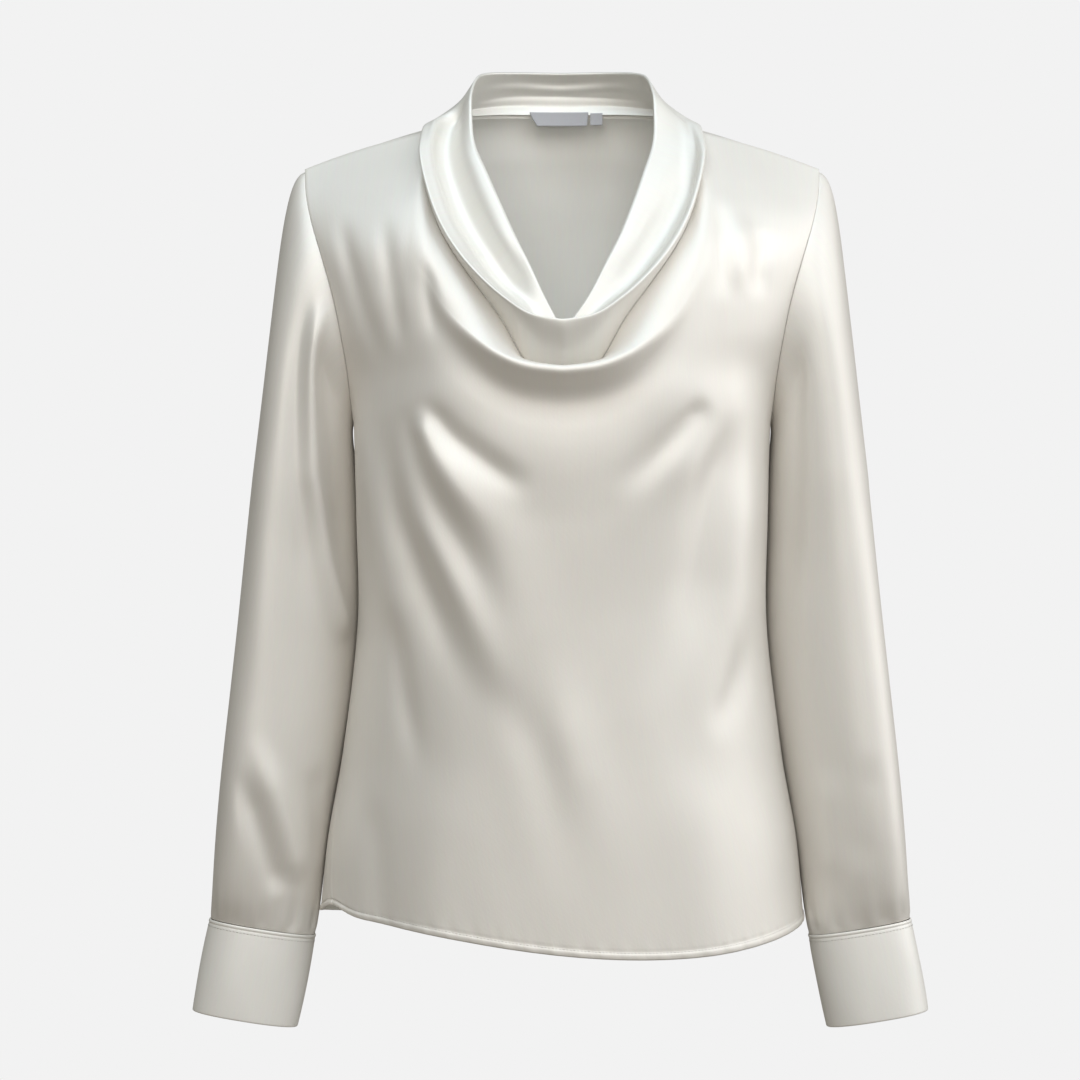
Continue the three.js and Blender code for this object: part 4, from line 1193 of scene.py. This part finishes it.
stitch = {"spacing": 2.7, "length": 2.0, "thickness": 0.32, "lift": 0.05, "seed": 3, "uneven": 0.12}
stitchRows = {
    "hem": 5.6,  # above the edge of front and back
    "cuff": 66.8,  # above the lower edge of each cuff, just under its piping
    "neck": 1.1,  # beside the front neckline's seam
}


def makeStitchTree():
    tree = bpy.data.node_groups.new("stitchesAlongLine", "GeometryNodeTree")
    tree.interface.new_socket("Line", in_out="INPUT", socket_type="NodeSocketGeometry")
    for name in ("Spacing", "Stitch length", "Thickness", "Unevenness"):
        tree.interface.new_socket(name, in_out="INPUT", socket_type="NodeSocketFloat")
    tree.interface.new_socket("Seed", in_out="INPUT", socket_type="NodeSocketInt")
    tree.interface.new_socket("Thread", in_out="INPUT", socket_type="NodeSocketMaterial")
    tree.interface.new_socket("Stitches", in_out="OUTPUT", socket_type="NodeSocketGeometry")
    node, join = nodeTools(tree)
    given, result = node("NodeGroupInput"), node("NodeGroupOutput")
    curve = node("GeometryNodeMeshToCurve")
    even = node("GeometryNodeResampleCurve", mode="LENGTH")
    along = node("GeometryNodeInputTangent")
    turn = node("FunctionNodeAlignRotationToVector", axis="Z")
    random = node("FunctionNodeRandomValue", data_type="FLOAT")  # one length for each stitch
    short = node("ShaderNodeMath", {0: 1}, operation="SUBTRACT")
    long = node("ShaderNodeMath", operation="MULTIPLY")
    size = node("ShaderNodeCombineXYZ")
    bead = node("GeometryNodeMeshUVSphere", {"Segments": 6, "Rings": 5, "Radius": 0.5})
    place = node("GeometryNodeInstanceOnPoints")
    solid = node("GeometryNodeRealizeInstances")
    paint = node("GeometryNodeSetMaterial")
    join(given, "Line", curve, "Mesh")
    join(curve, "Curve", even, "Curve")
    join(given, "Spacing", even, "Length")
    join(along, "Tangent", turn, "Vector")
    join(given, "Unevenness", short, 1)
    join(short, 0, random, 2)
    join(given, "Seed", random, "Seed")
    join(random, 1, long, 0)
    join(given, "Stitch length", long, 1)
    for axis in "XY":
        join(given, "Thickness", size, axis)
    join(long, 0, size, "Z")
    join(even, "Curve", place, "Points")
    join(bead, "Mesh", place, "Instance")
    join(turn, "Rotation", place, "Rotation")
    join(size, "Vector", place, "Scale")
    join(place, "Instances", solid, "Geometry")
    join(solid, "Geometry", paint, "Geometry")
    join(given, "Thread", paint, "Material")
    join(paint, "Geometry", result, "Stitches")
    return tree


stitchTree = makeStitchTree()


def lineOn(grid, distance, wraps, flip, fromEnd=False):
    # The line that runs this far from a grid's border, lifted off its outer face
    normals = outward(grid, wraps, flip)
    g, n = (grid[::-1], normals[::-1]) if fromEnd else (grid, normals)
    steps = np.linalg.norm(np.diff(g, axis=0), axis=2)
    run = np.concatenate([np.zeros((1, g.shape[1])), np.cumsum(steps, axis=0)])
    line = []
    for j in range(g.shape[1]):
        i = int(np.clip(np.searchsorted(run[:, j], distance) - 1, 0, len(g) - 2))
        share = (distance - run[i, j]) / (run[i + 1, j] - run[i, j])
        line.append(mix(g[i, j], g[i + 1, j], share) + n[i, j] * stitch["lift"])
    return np.array(line + line[:1] if wraps else line)


def sew(name, line):
    mesh = bpy.data.meshes.new(name)
    mesh.from_pydata([tuple(p * mm) for p in line], [(i, i + 1) for i in range(len(line) - 1)], [])
    piece = putInScene(name, mesh)
    modifier = piece.modifiers.new("stitches", "NODES")
    modifier.node_group = stitchTree
    values = {
        "Spacing": stitch["spacing"] * mm,
        "Stitch length": stitch["length"] * mm,
        "Thickness": stitch["thickness"] * mm,
        "Unevenness": stitch["uneven"],
        "Seed": stitch["seed"],
        "Thread": thread,
    }
    for socket in stitchTree.interface.items_tree:
        if socket.name in values:
            modifier[socket.identifier] = values[socket.name]
    graph = bpy.context.evaluated_depsgraph_get()
    made = bpy.data.meshes.new_from_object(piece.evaluated_get(graph))
    piece.modifiers.clear()
    piece.data = made
    made.name = name
    for face in made.polygons:
        face.use_smooth = True
    print(name, len(made.polygons), "faces")
    return piece


neckEnd = int(round(panel["columnsFront"] / 2 * (1 - panel["neckShareFront"])))
stitchLines = {
    "hem_stitches_front": lineOn(frontGrid, stitchRows["hem"], False, False),
    "hem_stitches_back": lineOn(backGrid, stitchRows["hem"], False, True),
    "neck_stitches": lineOn(frontGrid[:, neckEnd:-neckEnd], stitchRows["neck"], False, False, True),
    "cuff_stitches_left": lineOn(cuffs[-1][1], stitchRows["cuff"], True, True, True),
    "cuff_stitches_right": lineOn(cuffs[1][1], stitchRows["cuff"], True, False, True),
}
stitches = {name: sew(name, line) for name, line in stitchLines.items()}
print("stitches made")


# What the pieces are: each stands for its solid

pieces = {
    "front": frontPiece,
    "back": backPiece,
    "collar": collarPiece,
    "sleeve_left": sleeves[-1],
    "sleeve_right": sleeves[1],
    "cuff_left": cuffs[-1][0],
    "cuff_right": cuffs[1][0],
    "neck_label": labelPiece,
    "size_tab": tabPiece,
}
for name, piece in pieces.items():
    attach(piece, "root")
    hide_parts(name)

for piece in stitches.values():
    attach(piece, "root")

bothSleeves = ["sleeve_left", "sleeve_right"]
# Each sheet as it was cut, in metres: width, length, the cut's own area, how it is held, by what, and what is
# sewn on it
cuts = {
    "front": ((0.47, 0.64), 0.25, "hung", bothSleeves, ["hem_stitches_front", "neck_stitches"]),
    "back": ((0.45, 0.66), 0.267, "hung", bothSleeves, ["hem_stitches_back"]),
    "collar": ((0.62, 0.10), 0.048, "folded", ["front", "back"], []),
    "sleeve_left": ((0.32, 0.575), 0.15, "gathered", ["front", "back"], []),
    "sleeve_right": ((0.32, 0.575), 0.15, "gathered", ["front", "back"], []),
    "cuff_left": ((0.222, 0.073), None, "folded", ["sleeve_left"], ["cuff_stitches_left"]),
    "cuff_right": ((0.222, 0.073), None, "folded", ["sleeve_right"], ["cuff_stitches_right"]),
    "neck_label": ((0.046, 0.011), None, "hung", ["back"], ["size_tab"]),
}
everyPiece = {**pieces, **stitches}
for name, (flat, area, held, restsOn, others) in cuts.items():
    others = [everyPiece[other] for other in others]
